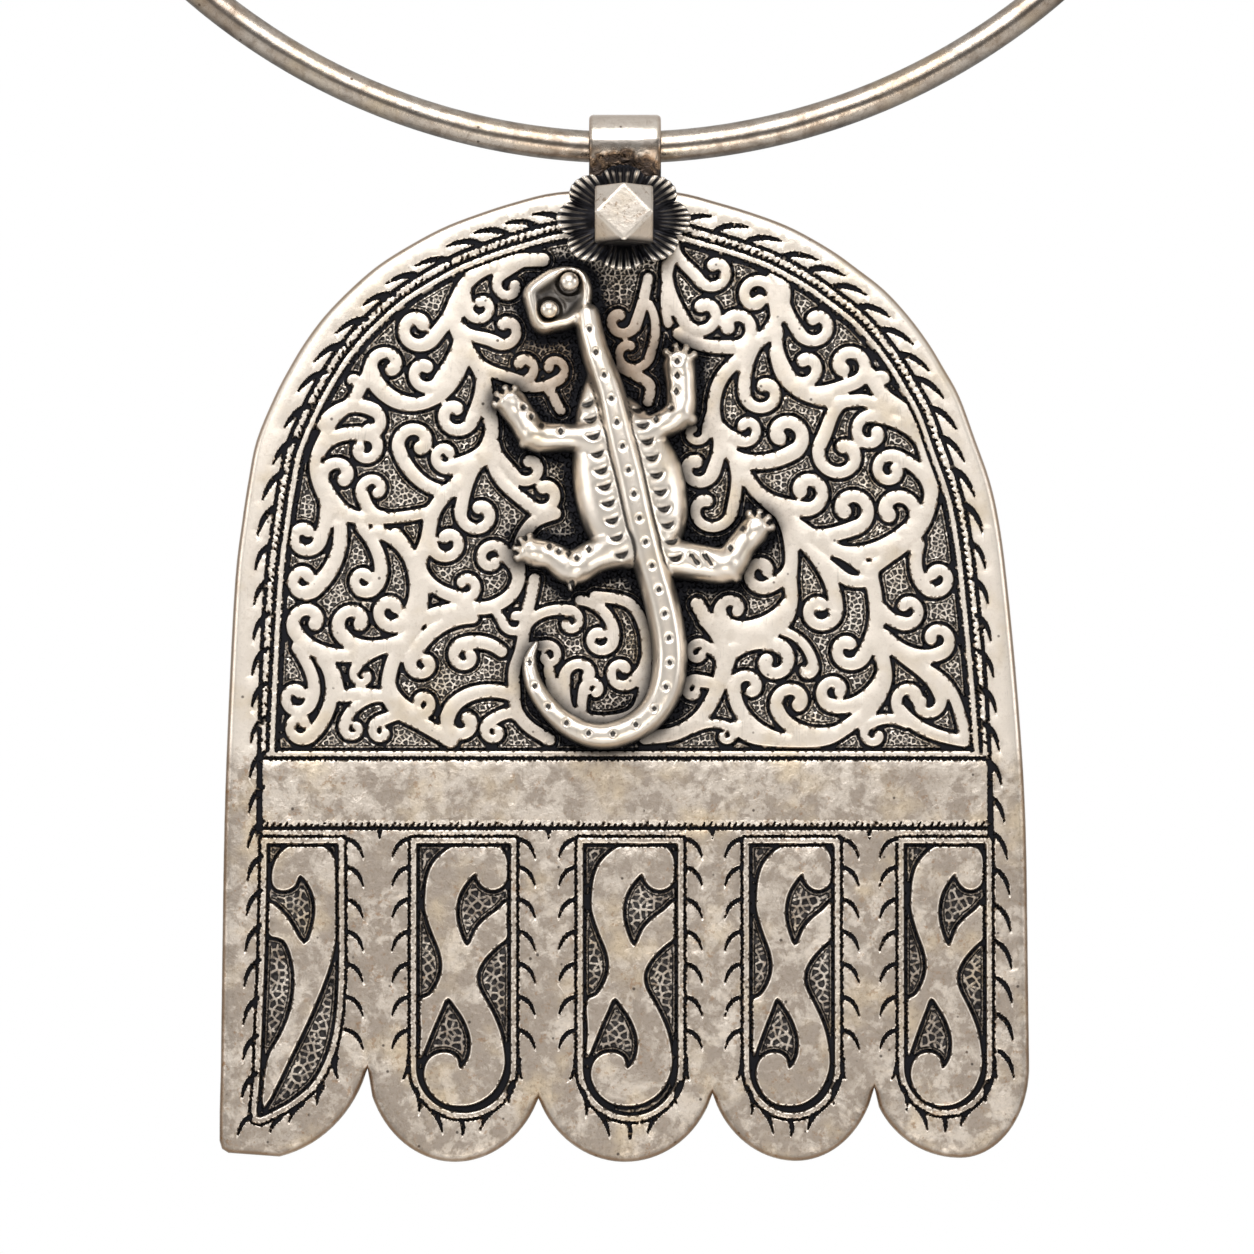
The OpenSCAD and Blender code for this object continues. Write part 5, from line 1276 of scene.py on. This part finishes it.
class Finish(Nodes):
    """A material and the nodes that it is made of."""

    def __init__(self, name):
        self.material = bpy.data.materials.new(name)
        self.material.use_nodes = True
        super().__init__(self.material.node_tree)

    def place(self, scale=(1, 1, 1), turn=(0, 0, 0), shift=(0, 0, 0)):
        """The object's own coordinates, moved, turned and stretched."""
        source = self.node("ShaderNodeTexCoord").outputs["Object"]
        if (scale, turn, shift) == ((1, 1, 1), (0, 0, 0), (0, 0, 0)):
            return source
        return self.node("ShaderNodeMapping", {}, {"Vector": source, "Location": shift,
                                                   "Rotation": turn, "Scale": scale}).outputs[0]

    def noise(self, scale, detail=3.0, rough=0.5, bend=0.0, shift=(0, 0, 0), place=None):
        """Clouds about a half, so many to the metre, over the object or over a given place."""
        made = self.node("ShaderNodeTexNoise", {}, {
            "Vector": self.place(shift=shift) if place is None else place, "Scale": scale,
            "Detail": detail, "Roughness": rough, "Distortion": bend})
        return Amount(self, made.outputs[0])

    def cells(self, place, scale, feature="F1", axes="3D"):
        """A distance within scattered cells: from the cell's middle, or from its edge."""
        made = self.node("ShaderNodeTexVoronoi", {"feature": feature, "voronoi_dimensions": axes},
                         {"Vector": place, "Scale": scale})
        return Amount(self, made.outputs["Distance"])

    def attribute(self, name):
        """A number that the mesh holds at its points."""
        made = self.node("ShaderNodeAttribute", {"attribute_name": name})
        return Amount(self, made.outputs["Fac"])

    def level(self, amount, stops):
        """A number read off a row of stops, each a place and a grey."""
        low, high = stops[0][0], stops[-1][0]
        made = self.node("ShaderNodeValToRGB",
                         {"stops": [((p - low) / (high - low), (g, g, g, 1)) for p, g in stops]},
                         {"Fac": (amount - low) / (high - low)})
        return Amount(self, made.outputs["Color"])

    def blend(self, amount, first, second):
        """The first colour where the amount is nothing, the second where it is one."""
        full = lambda c: c if isinstance(c, bpy.types.NodeSocket) else (*c, 1.0)
        made = self.node("ShaderNodeMix", {"data_type": "RGBA"},
                         {0: amount, 6: full(first), 7: full(second)})
        return made.outputs[2]

    def bump(self, height, distance):
        """The normal that heights give, where a height of one stands the distance tall."""
        return self.node("ShaderNodeBump", {}, {"Height": height, "Distance": distance,
                                                "Strength": 1.0}).outputs[0]

    def close(self, colour, roughness, normal, metallic=1.0):
        """Ends the finish with its shader, and returns the material."""
        shader = self.node("ShaderNodeBsdfPrincipled", {}, {
            "Base Color": colour, "Roughness": roughness, "Metallic": metallic, "Normal": normal})
        self.node("ShaderNodeOutputMaterial", {}, {"Surface": shader.outputs[0]})
        return self.material


# Tones of what lies on the silver (the brown one also paints a shadow by the lizard's neck),
# and how high its bumps stand in metres
GRIME, SCRATCH = (0.24, 0.19, 0.14), (0.30, 0.27, 0.23)
PIT, BROWN_FILM_AND_SHADOW = (0.07, 0.055, 0.045), (0.27, 0.155, 0.075)
BUMP_HEIGHT = 0.00006
# Punch marks in a metre of the plate's ground, and how much larger those of the fingers are
PUNCHES, FINGER_PUNCH = 2000, 0.32
# Where the strap's brown side starts and where it is full, across from its middle in metres
STRAP_SIDE = 0.0031, 0.0036


def scratches(f):
    """Fine scratches: thin lines where noise, stretched far and turned, passes its middle."""
    total = None
    for turn, scale in ((0.7, 420), (-1.1, 380), (2.2, 460)):
        place = f.place(scale=(1, 0.4, 0.08), turn=(0, turn, 0), shift=(turn, 0, 0.3 * turn))
        gap = f.math("ABSOLUTE", f.noise(scale, 1.0, 0.4, 0.6, place=place) - 0.5)
        line = 1.0 - gap.rise(0.001, 0.007)
        total = line if total is None else total.larger(line)
    return total * f.noise(300, 2.0, shift=(0.02, 0.01, 0.05)).rise(0.54, 0.66)


def old_silver(name, look, grey=0.4, roughness=0.3, recess=None, relief=None, shade=None,
               rust=None, pits=1.0, grain=1.0, ripple=0.8):
    """Old polished silver: a warm bright tone, clouds of grey and of cream tarnish, a fine grain,
    small pits and scratches, a brown film that in places also paints shadow, and a near-black tone
    for oxide where polish never reaches and for painted shade. Shade adds grey: tarnish, and on the
    plate painted shade as well; relief adds to the bumps."""
    f = Finish(name)
    cloud = f.noise(90, 5.0, 0.6, 0.4)
    mottle = f.noise(620, 4.0, 0.65, 0.4, (0.03, 0, 0.02))
    cream = f.noise(170, 3.0, 0.6, shift=(0.11, 0.02, 0.07))
    fine = f.noise(2600, 4.0, 0.7, shift=(0.4, 0.3, 0))
    stain = cloud.rise(0.42, 0.70) * 0.6 * grey + mottle.rise(0.46, 0.72) * 0.35 * grey
    if shade is not None:
        stain = stain + shade(f, cloud, mottle)
    stain = stain.smaller(1.0)
    colour = f.blend(stain, tuple(look.silver), tuple(look.grey_tarnish))
    colour = f.blend(cream.rise(0.5, 0.74, 0.6), colour, tuple(look.cream_tarnish))
    colour = f.blend(fine.rise(0.48, 0.70) * (0.12 + 0.5 * stain) * grain, colour, GRIME)
    colour = f.blend(scratches(f) * 0.25, colour, SCRATCH)
    spot = (0.2, 0.1, 0.3)
    pit = 1.0 - f.cells(f.place(shift=spot), 620).rise(0.06, 0.13)
    pit = pit * f.noise(330, 0.0, shift=spot).rise(0.5, 0.56) * pits
    colour = f.blend(pit * 0.85, colour, PIT)
    height = fine * 0.22 + mottle * ripple
    rough = roughness + stain * 0.14 + fine * 0.08 + pit * 0.2
    # a brown film, in places a painted brown shadow
    if rust is not None:
        colour = f.blend(rust(f), colour, BROWN_FILM_AND_SHADOW)
    # near-black: oxide in the hollows, and painted shade
    if recess is not None:
        depth = recess(f)
        colour = f.blend(depth, colour, tuple(look.dark_oxide_and_shade_tone))
        rough = rough + depth * 0.1
    if relief is not None:
        height = height + relief(f)
    return f.close(colour, rough, f.bump(height, BUMP_HEIGHT))


def low_part(f, low=FOOT - 3, high=FOOT + 1.5):
    """The front below the palm; half of it everywhere on the back."""
    _, y, z = f.axes(f.place())
    back = y.rise(FACE * MM * 0.5, BACK * MM * 0.5)
    return (1.0 - z.rise(low * MM, high * MM)) * (1.0 - back) + back * 0.5


def ground_cells(f, feature):
    """The punch marks of the ground, seen from the front. They are larger in the fingers."""
    fingers = 1.0 - f.axes(f.place())[2].rise((FOOT - 3) * MM, (FOOT - 1) * MM)
    place = f.node("ShaderNodeVectorMath", {"operation": "SCALE"},
                   {0: f.place(turn=(math.pi / 2, 0, 0)), "Scale": 1.0 - fingers * FINGER_PUNCH})
    return f.cells(place.outputs[0], PUNCHES, feature, axes="2D")


def chased_recess(f):
    """Dark oxide beside the chased forms, a bright ridge, and a punched ground with bright webs;
    painted shade dims the webs towards the lizard, and a painted shadow lies round its foot."""
    d = f.attribute("chase")
    line = f.level(d, [(-0.09, 0), (-0.05, 0.2), (0.0, 0.8), (0.06, 1.0), (0.27, 1.0), (0.31, 0.75),
                       (0.34, 0.12), (0.39, 0.12), (0.44, 0.9), (0.52, 0.97), (0.62, 0.97)])
    web = 1.0 - ground_cells(f, "DISTANCE_TO_EDGE").rise(0.1, 0.19)
    # painted shade: the ground's bright webs dim towards the lizard
    shade = 0.25 + f.attribute("halo").rise(0.3, 2.4) * 0.75
    line = line * (1.0 - d.rise(0.5, 0.58) * (0.03 + web * 0.94) * shade)
    # painted shadow: a dark line round the lizard's foot
    halo = 1.0 - f.attribute("halo").rise(0.0, 1.5)
    return (line + halo * (0.4 + 0.6 * f.noise(500, 2.0))).smaller(1.0)


def chased_rust(f):
    """A brown film on the rim's front and just above the chased lines, brown flecks, most of them
    below the palm, and a brown painted shadow about the lizard's neck."""
    rim = 1.0 - f.attribute("rim").rise(0.12, 0.5)
    rim = rim * (1.0 - f.axes(f.place())[1].rise(FACE * MM + 0.0002, FACE * MM + 0.0009) * 0.7)
    film = f.level(f.attribute("chase"), [(-0.09, 0), (-0.07, 0.5), (-0.03, 0.5), (0.0, 0)])
    fleck = f.noise(1500, 3.0, 0.7, shift=(0.5, 0, 0.4)).rise(0.57, 0.66)
    fleck = fleck * f.noise(320, 2.0, shift=(0.2, 0, 0.6)).rise(0.42, 0.6)
    fleck = fleck * (0.12 + low_part(f) * 0.4)
    # the nape term adds a brown painted shadow about the lizard's neck
    return (rim * 0.8 + film + fleck + f.attribute("nape") * 0.35).smaller(1.0)


def chased_relief(f):
    """Round punch marks in the ground, and shallow dents below the palm."""
    floor = f.attribute("chase").rise(0.5, 0.58)
    dents = f.noise(800, 3.0, 0.6, 0.3, (0.05, 0, 0.2)) * low_part(f) * 2.2
    return ground_cells(f, "F1").rise(0.2, 0.6) * floor * 3.5 + dents


def plate_shade(f, cloud, mottle):
    """The band and the fingers are greyer than the palm. Their edges are worn bright and carry a
    painted highlight, and a painted shadow darkens the plate round the lizard and about its neck."""
    # the edges' brightening is partly wear and partly a painted highlight of light on their bevels
    edge = f.level(f.attribute("chase"), [(-0.235, 0), (-0.18, 1), (-0.1, 1), (-0.07, 0)])
    smoke = f.noise(260, 4.0, 0.65, 0.5, (0.3, 0, 0.1))
    worn = cloud.rise(0.36, 0.7) * 0.24 + smoke.rise(0.38, 0.64) * 0.22
    worn = worn + mottle.rise(0.42, 0.64) * 0.55
    lower = low_part(f, FOOT - 12, FOOT - 6)
    worn = low_part(f) * (0.34 + worn) + lower * smoke.rise(0.42, 0.6) * 0.25
    # painted shadow round the lizard
    halo = 1.0 - f.attribute("halo").rise(0.0, 4.4)
    # the nape term is a painted shadow about the lizard's neck
    return worn * (1.0 - edge * 0.9) + halo * 0.5 + f.attribute("nape") * 0.6


def wire_shade(f, cloud, mottle):
    """The neck wire is grey all over, and mottled."""
    return 0.4 + mottle.rise(0.4, 0.65) * 0.3


def wire_rust(f):
    """The neck wire is browner than the pendant."""
    return 0.08 + f.noise(240, 4.0, 0.6, shift=(0.6, 0, 0)).rise(0.38, 0.68) * 0.3


def wire_recess(f):
    """Painted reflection: dark bands that run along the neck wire, on its outer side and thinner
    ones between.
    """
    wander = (f.noise(120, 3.0, shift=(0.9, 0, 0)) - 0.5) * 0.3
    # painted reflection bands, placed by how far round to the outside each point lies
    film = f.level(f.attribute("outer") + wander, [
        (-1.1, 0.6), (-0.85, 0.3), (-0.7, 0), (-0.3, 0), (-0.1, 0.25), (0.05, 0.75), (0.2, 0.7),
        (0.32, 0), (0.5, 0), (0.7, 0.3), (0.9, 0.65), (1.1, 0.9)])
    return film * (0.6 + 0.6 * f.noise(500, 3.0, 0.6, shift=(0.8, 0, 0)))


def solder_mask(f):
    """Where the bail is soldered: low on its front leg, highest in the middle, with a ragged
    upper edge."""
    x, y, z = f.axes(f.place())
    ragged = (f.noise(420, 3.0, 0.6) - 0.5) * 0.0022
    hill = x * x * 70.0
    front = 1.0 - y.rise(-0.0005, 0.0005)
    return (1.0 - (z + ragged + hill).rise(WIRE_LEVEL - 0.0012, WIRE_LEVEL - 0.0002)) * front


def bail_recess(f):
    """Dark clots in the solder, a painted shadow below the wire and a darker painted line along
    its edge.
    """
    clots = f.noise(900, 4.0, 0.6, 0.8, (0.1, 0, 0)).rise(0.34, 0.56)
    wavy = f.axes(f.place())[2] + (f.noise(260, 2.0, shift=(0.2, 0, 0)) - 0.5) * 0.0008
    # painted shade below the wire, with a painted dark line at its edge
    under = 1.0 - wavy.rise(WIRE_LEVEL + 0.0003, WIRE_LEVEL + 0.0006)
    line = under * wavy.rise(WIRE_LEVEL - 0.0006, WIRE_LEVEL + 0.0002)
    return (solder_mask(f) * (0.1 + 0.45 * clots) + under * 0.34 + line * 0.4).smaller(1.0)


def bail_relief(f):
    """Lumps in the solder."""
    lumps = f.noise(1000, 3.0, 0.6, 0.6) * 6.0 - f.cells(f.place(), 900, "SMOOTH_F1") * 7.0
    return solder_mask(f) * lumps


def bail_rust(f):
    """Brown on the solder, under the wire and along the strap's sides."""
    x, _, z = f.axes(f.place())
    wide = f.math("ABSOLUTE", x).rise(*STRAP_SIDE)
    top = z.rise(WIRE_LEVEL + 0.0021, WIRE_LEVEL + 0.0032)
    under = 1.0 - z.rise(WIRE_LEVEL - 0.0006, WIRE_LEVEL + 0.0006)
    cloud = f.noise(600, 4.0, 0.6, shift=(0.3, 0, 0)).rise(0.3, 0.66)
    film = solder_mask(f) * 0.7 + under * cloud * 0.55 + top * 0.35
    return (film + wide * 0.5 + cloud * 0.1).smaller(0.9)


def boss_recess(f):
    """Painted shade: the boss is black underneath."""
    return f.attribute("under") * 0.97


def boss_rust(f):
    """Cream and brown pits over the boss's face."""
    fleck = f.noise(2200, 3.0, 0.7, shift=(0.7, 0, 0)).rise(0.53, 0.64)
    patch = f.noise(300, 2.0, shift=(0.1, 0.2, 0)).rise(0.4, 0.58)
    return fleck * patch * 0.6 + 0.04


def lizard_recess(f):
    """Dark along the lizard's outline, oxide at its foot and painted shade on its sloping sides;
    dark oxide in its punch marks and in the dish of its head.
    """
    # painted shade on the lizard's sides near its outline, over the oxide where it meets the plate
    low = 1.0 - f.attribute("inside").rise(0.0, 0.42)
    carved = f.attribute("carved").rise(0.2, 0.8)
    return (low * 0.97 + f.attribute("hollow") * 0.88 + carved * 0.92).smaller(1.0)


def rosette_recess(f):
    """Dark oxide in the flutes' valleys and where two lobes meet, and the boss's painted shadow
    over the middle of the dish.
    """
    valley = f.attribute("valley").rise(0.42, 0.72)
    # painted shadow of the boss over the middle of the dish
    inner = 1.0 - f.attribute("reach").rise(0.77, 0.96)
    crease = f.attribute("crease").rise(0.4, 0.8)
    return (valley * 0.95 + inner * 0.93 + crease).smaller(1.0)


# ---- sizes and colours ----


def tone(name, description, default):
    """A colour in the panel."""
    return FloatVectorProperty(name=name, description=description, subtype="COLOR", size=3, min=0,
                               max=1, default=default)


class HamsaLook(bpy.types.PropertyGroup):
    """Sizes and colours of the dressed necklace."""

    ground_depth: FloatProperty(name="Ground depth", default=0.48, min=0.2, max=0.55,
                                description="Depth of the chased lines in millimetres")
    lizard_height: FloatProperty(name="Lizard height", default=LIZARD_TOP, min=2.5, max=LIZARD_TOP,
                                 description="Height of the lizard's back in millimetres")
    silver: tone("Silver", "Tone of the polished metal", (0.83, 0.75, 0.66))
    grey_tarnish: tone("Grey tarnish", "Tone of the cloudy tarnish", (0.34, 0.29, 0.245))
    cream_tarnish: tone("Cream tarnish", "Tone of the warm film on the silver", (0.66, 0.54, 0.38))
    # the near-black tone of the oxide in hollows, also used for painted shade and shadow
    dark_oxide_and_shade_tone: tone("Dark tarnish", "Tone of the recesses", (0.016, 0.016, 0.019))


class HamsaStage(bpy.types.PropertyGroup):
    """Camera and light."""

    distance: FloatProperty(name="Camera distance", description="From the pendant to the camera",
                            default=1.0, min=0.3, unit="LENGTH")
    elevation: FloatProperty(name="Camera elevation", default=math.radians(-4.0), subtype="ANGLE",
                             description="Negative looks up at the pendant")
    frame_width: FloatProperty(name="Frame width", description="Width of the view at the pendant",
                               default=0.1251, min=0.05, unit="LENGTH")
    key_light: FloatProperty(name="Key light", description="Power of the light over the camera",
                             default=2.2, min=0, unit="POWER")


def settle(piece, body, node, slot, look, **finish):
    """The piece takes its silver, moves with its body and stands for its node."""
    piece.data.materials.append(old_silver(slot + "_look", look, **finish))
    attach(piece, body)
    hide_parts(node)


class HAMSA_OT_plate(bpy.types.Operator):
    """Build the chased hand plate"""

    bl_idname = "hamsa.plate"
    bl_label = "Hand plate"

    def execute(self, context):
        look = context.scene.hamsa_look
        settle(plate_piece(look), "pendant", "hand_plate", "plate_silver", look, grey=0.14,
               roughness=0.34, recess=chased_recess, relief=chased_relief, shade=plate_shade,
               rust=chased_rust, ripple=0.25)
        return {"FINISHED"}


class HAMSA_OT_lizard(bpy.types.Operator):
    """Build the applied lizard"""

    bl_idname = "hamsa.lizard"
    bl_label = "Lizard"

    def execute(self, context):
        look = context.scene.hamsa_look
        settle(lizard_piece(look), "pendant", "lizard", "lizard_silver", look, grey=0.08,
               roughness=0.28, recess=lizard_recess, pits=0.3, grain=0.2, ripple=0.12)
        return {"FINISHED"}


class HAMSA_OT_mounts(bpy.types.Operator):
    """Build the bail, the rosette and the boss"""

    bl_idname = "hamsa.mounts"
    bl_label = "Bail, rosette and boss"

    def execute(self, context):
        look = context.scene.hamsa_look
        settle(bail_piece(), "pendant", "bail", "bail_silver", look, grey=0.25, roughness=0.18,
               recess=bail_recess, relief=bail_relief, rust=bail_rust)
        settle(rosette_piece(), "pendant", "rosette", "rosette_silver", look, grey=0.2,
               roughness=0.22, recess=rosette_recess, pits=0.2, grain=0.4)
        settle(boss_piece(), "pendant", "boss", "boss_silver", look, grey=0.35, roughness=0.27,
               recess=boss_recess, rust=boss_rust)
        return {"FINISHED"}


class HAMSA_OT_ring(bpy.types.Operator):
    """Build the neck ring and its clasp barrel"""

    bl_idname = "hamsa.ring"
    bl_label = "Neck ring and clasp"

    def execute(self, context):
        look = context.scene.hamsa_look
        settle(ring_piece(), "ring", "neck_ring", "ring_silver", look, grey=0.55, roughness=0.14,
               shade=wire_shade, rust=wire_rust, recess=wire_recess)
        settle(clasp_piece(), "ring", "ring_clasp", "clasp_silver", look, grey=0.6, roughness=0.3,
               shade=wire_shade, rust=wire_rust)
        return {"FINISHED"}


# ---- camera, light and floor ----

# In millimetres: the middle of the view from the palm's foot, the camera's sensor, and the
# floor's level and half side
AIM = 0.2, 12.3
SENSOR = 36.0
FLOOR_LEVEL, FLOOR_HALF = -620.0, 3000.0
# In metres: the lights' names, places from the palm's foot, sizes, shares of the key light's
# power, and tones
LIGHTS = [
    ("key", -0.06, -0.42, 0.37, 0.44, 1.0, (1, 1, 1)),
    ("fill", 0.05, -0.50, -0.27, 0.26, 0.28, (1, 0.93, 0.84)),
    ("left", -0.7, -0.25, 0.1, 0.35, 0.4, (1, 1, 1)),
    ("right", 0.7, -0.25, 0.12, 0.35, 0.4, (1, 1, 1)),
]


def stand(name, data, place, toward):
    """Puts a light or the camera in its place, looking along a direction."""
    holder = bpy.data.objects.new(name, data)
    holder.location = place
    holder.rotation_euler = toward.to_track_quat("-Z", "Y").to_euler()
    bpy.context.scene.collection.objects.link(holder)
    return holder


def add_floor():
    """A plain pale floor, far below the pendant."""
    corners = [[x * FLOOR_HALF, y * FLOOR_HALF, FLOOR_LEVEL]
               for x, y in ((-1, -1), (1, -1), (1, 1), (-1, 1))]
    floor = put_mesh("floor", np.array(corners), np.array([[0, 1, 2, 3]]), smooth=False)
    cloth = Finish("floor_white")
    cloud = cloth.noise(3.0, 2.0)
    colour = cloth.blend(cloud, (0.86, 0.86, 0.85), (0.90, 0.90, 0.89))
    floor.data.materials.append(cloth.close(colour, 0.9, cloth.bump(cloud, 0.0001), 0.0))


def add_world():
    """A pale room: brighter above than below, and full white straight behind the pendant."""
    world = bpy.data.worlds.new("studio")
    bpy.context.scene.world = world
    world.use_nodes = True
    sky = Nodes(world.node_tree)
    _, y, z = sky.axes(sky.node("ShaderNodeTexCoord").outputs["Generated"])
    strength = sky.node("ShaderNodeMix", {}, {
        0: y.rise(0.75, 0.95), 2: z.rise(-0.3, 0.5, 0.7, 0.18), 3: 1.0})
    back = sky.node("ShaderNodeBackground", {}, {"Color": (1, 1, 1, 1),
                                                 "Strength": strength.outputs[0]})
    sky.node("ShaderNodeOutputWorld", {}, {"Surface": back.outputs[0]})


class HAMSA_OT_stage(bpy.types.Operator):
    """Set the camera, the soft light and the plain pale floor"""

    bl_idname = "hamsa.stage"
    bl_label = "Stage"

    def execute(self, context):
        stage = context.scene.hamsa_stage
        scene = context.scene
        target = Vector((AIM[0] * MM, 0.0, (FOOT + AIM[1]) * MM))
        toward = Vector((0, -math.cos(stage.elevation), math.sin(stage.elevation)))
        camera = bpy.data.cameras.new("camera")
        camera.sensor_width = SENSOR
        camera.lens = SENSOR * stage.distance / stage.frame_width
        camera.clip_start, camera.clip_end = 0.01, 20.0
        scene.camera = stand("camera", camera, target + toward * stage.distance, -toward)
        add_floor()
        for name, x, y, z, size, share, colour in LIGHTS:
            light = bpy.data.lights.new(name, "AREA")
            light.shape, light.size, light.color = "SQUARE", size, colour
            light.energy = stage.key_light * share
            place = Vector((x, y, FOOT * MM + z))
            stand(name, light, place, Vector((0, 0, FOOT * MM)) - place)
        scene.view_settings.view_transform = "Standard"
        add_world()
        return {"FINISHED"}


class HAMSA_PT_panel(bpy.types.Panel):
    """Sizes, colours and steps of the necklace"""

    bl_label = "Hamsa necklace"
    bl_idname = "HAMSA_PT_panel"
    bl_space_type = "VIEW_3D"
    bl_region_type = "UI"
    bl_category = "Hamsa"

    def draw(self, context):
        column = self.layout.column()
        for group in (context.scene.hamsa_look, context.scene.hamsa_stage):
            for key in group.__annotations__:
                column.prop(group, key)
        for step in STEPS:
            column.operator(step.bl_idname)


STEPS = (HAMSA_OT_plate, HAMSA_OT_lizard, HAMSA_OT_mounts, HAMSA_OT_ring, HAMSA_OT_stage)
CLASSES = (HamsaLook, HamsaStage) + STEPS + (HAMSA_PT_panel,)


def register():
    for made in CLASSES:
        bpy.utils.register_class(made)
    bpy.types.Scene.hamsa_look = PointerProperty(type=HamsaLook)
    bpy.types.Scene.hamsa_stage = PointerProperty(type=HamsaStage)


def unregister():
    del bpy.types.Scene.hamsa_look
    del bpy.types.Scene.hamsa_stage
    for made in reversed(CLASSES):
        bpy.utils.unregister_class(made)


def main():
    register()
    bpy.ops.hamsa.plate()
    bpy.ops.hamsa.lizard()
    bpy.ops.hamsa.mounts()
    bpy.ops.hamsa.ring()
    bpy.ops.hamsa.stage()


if __name__ == "__main__":
    main()
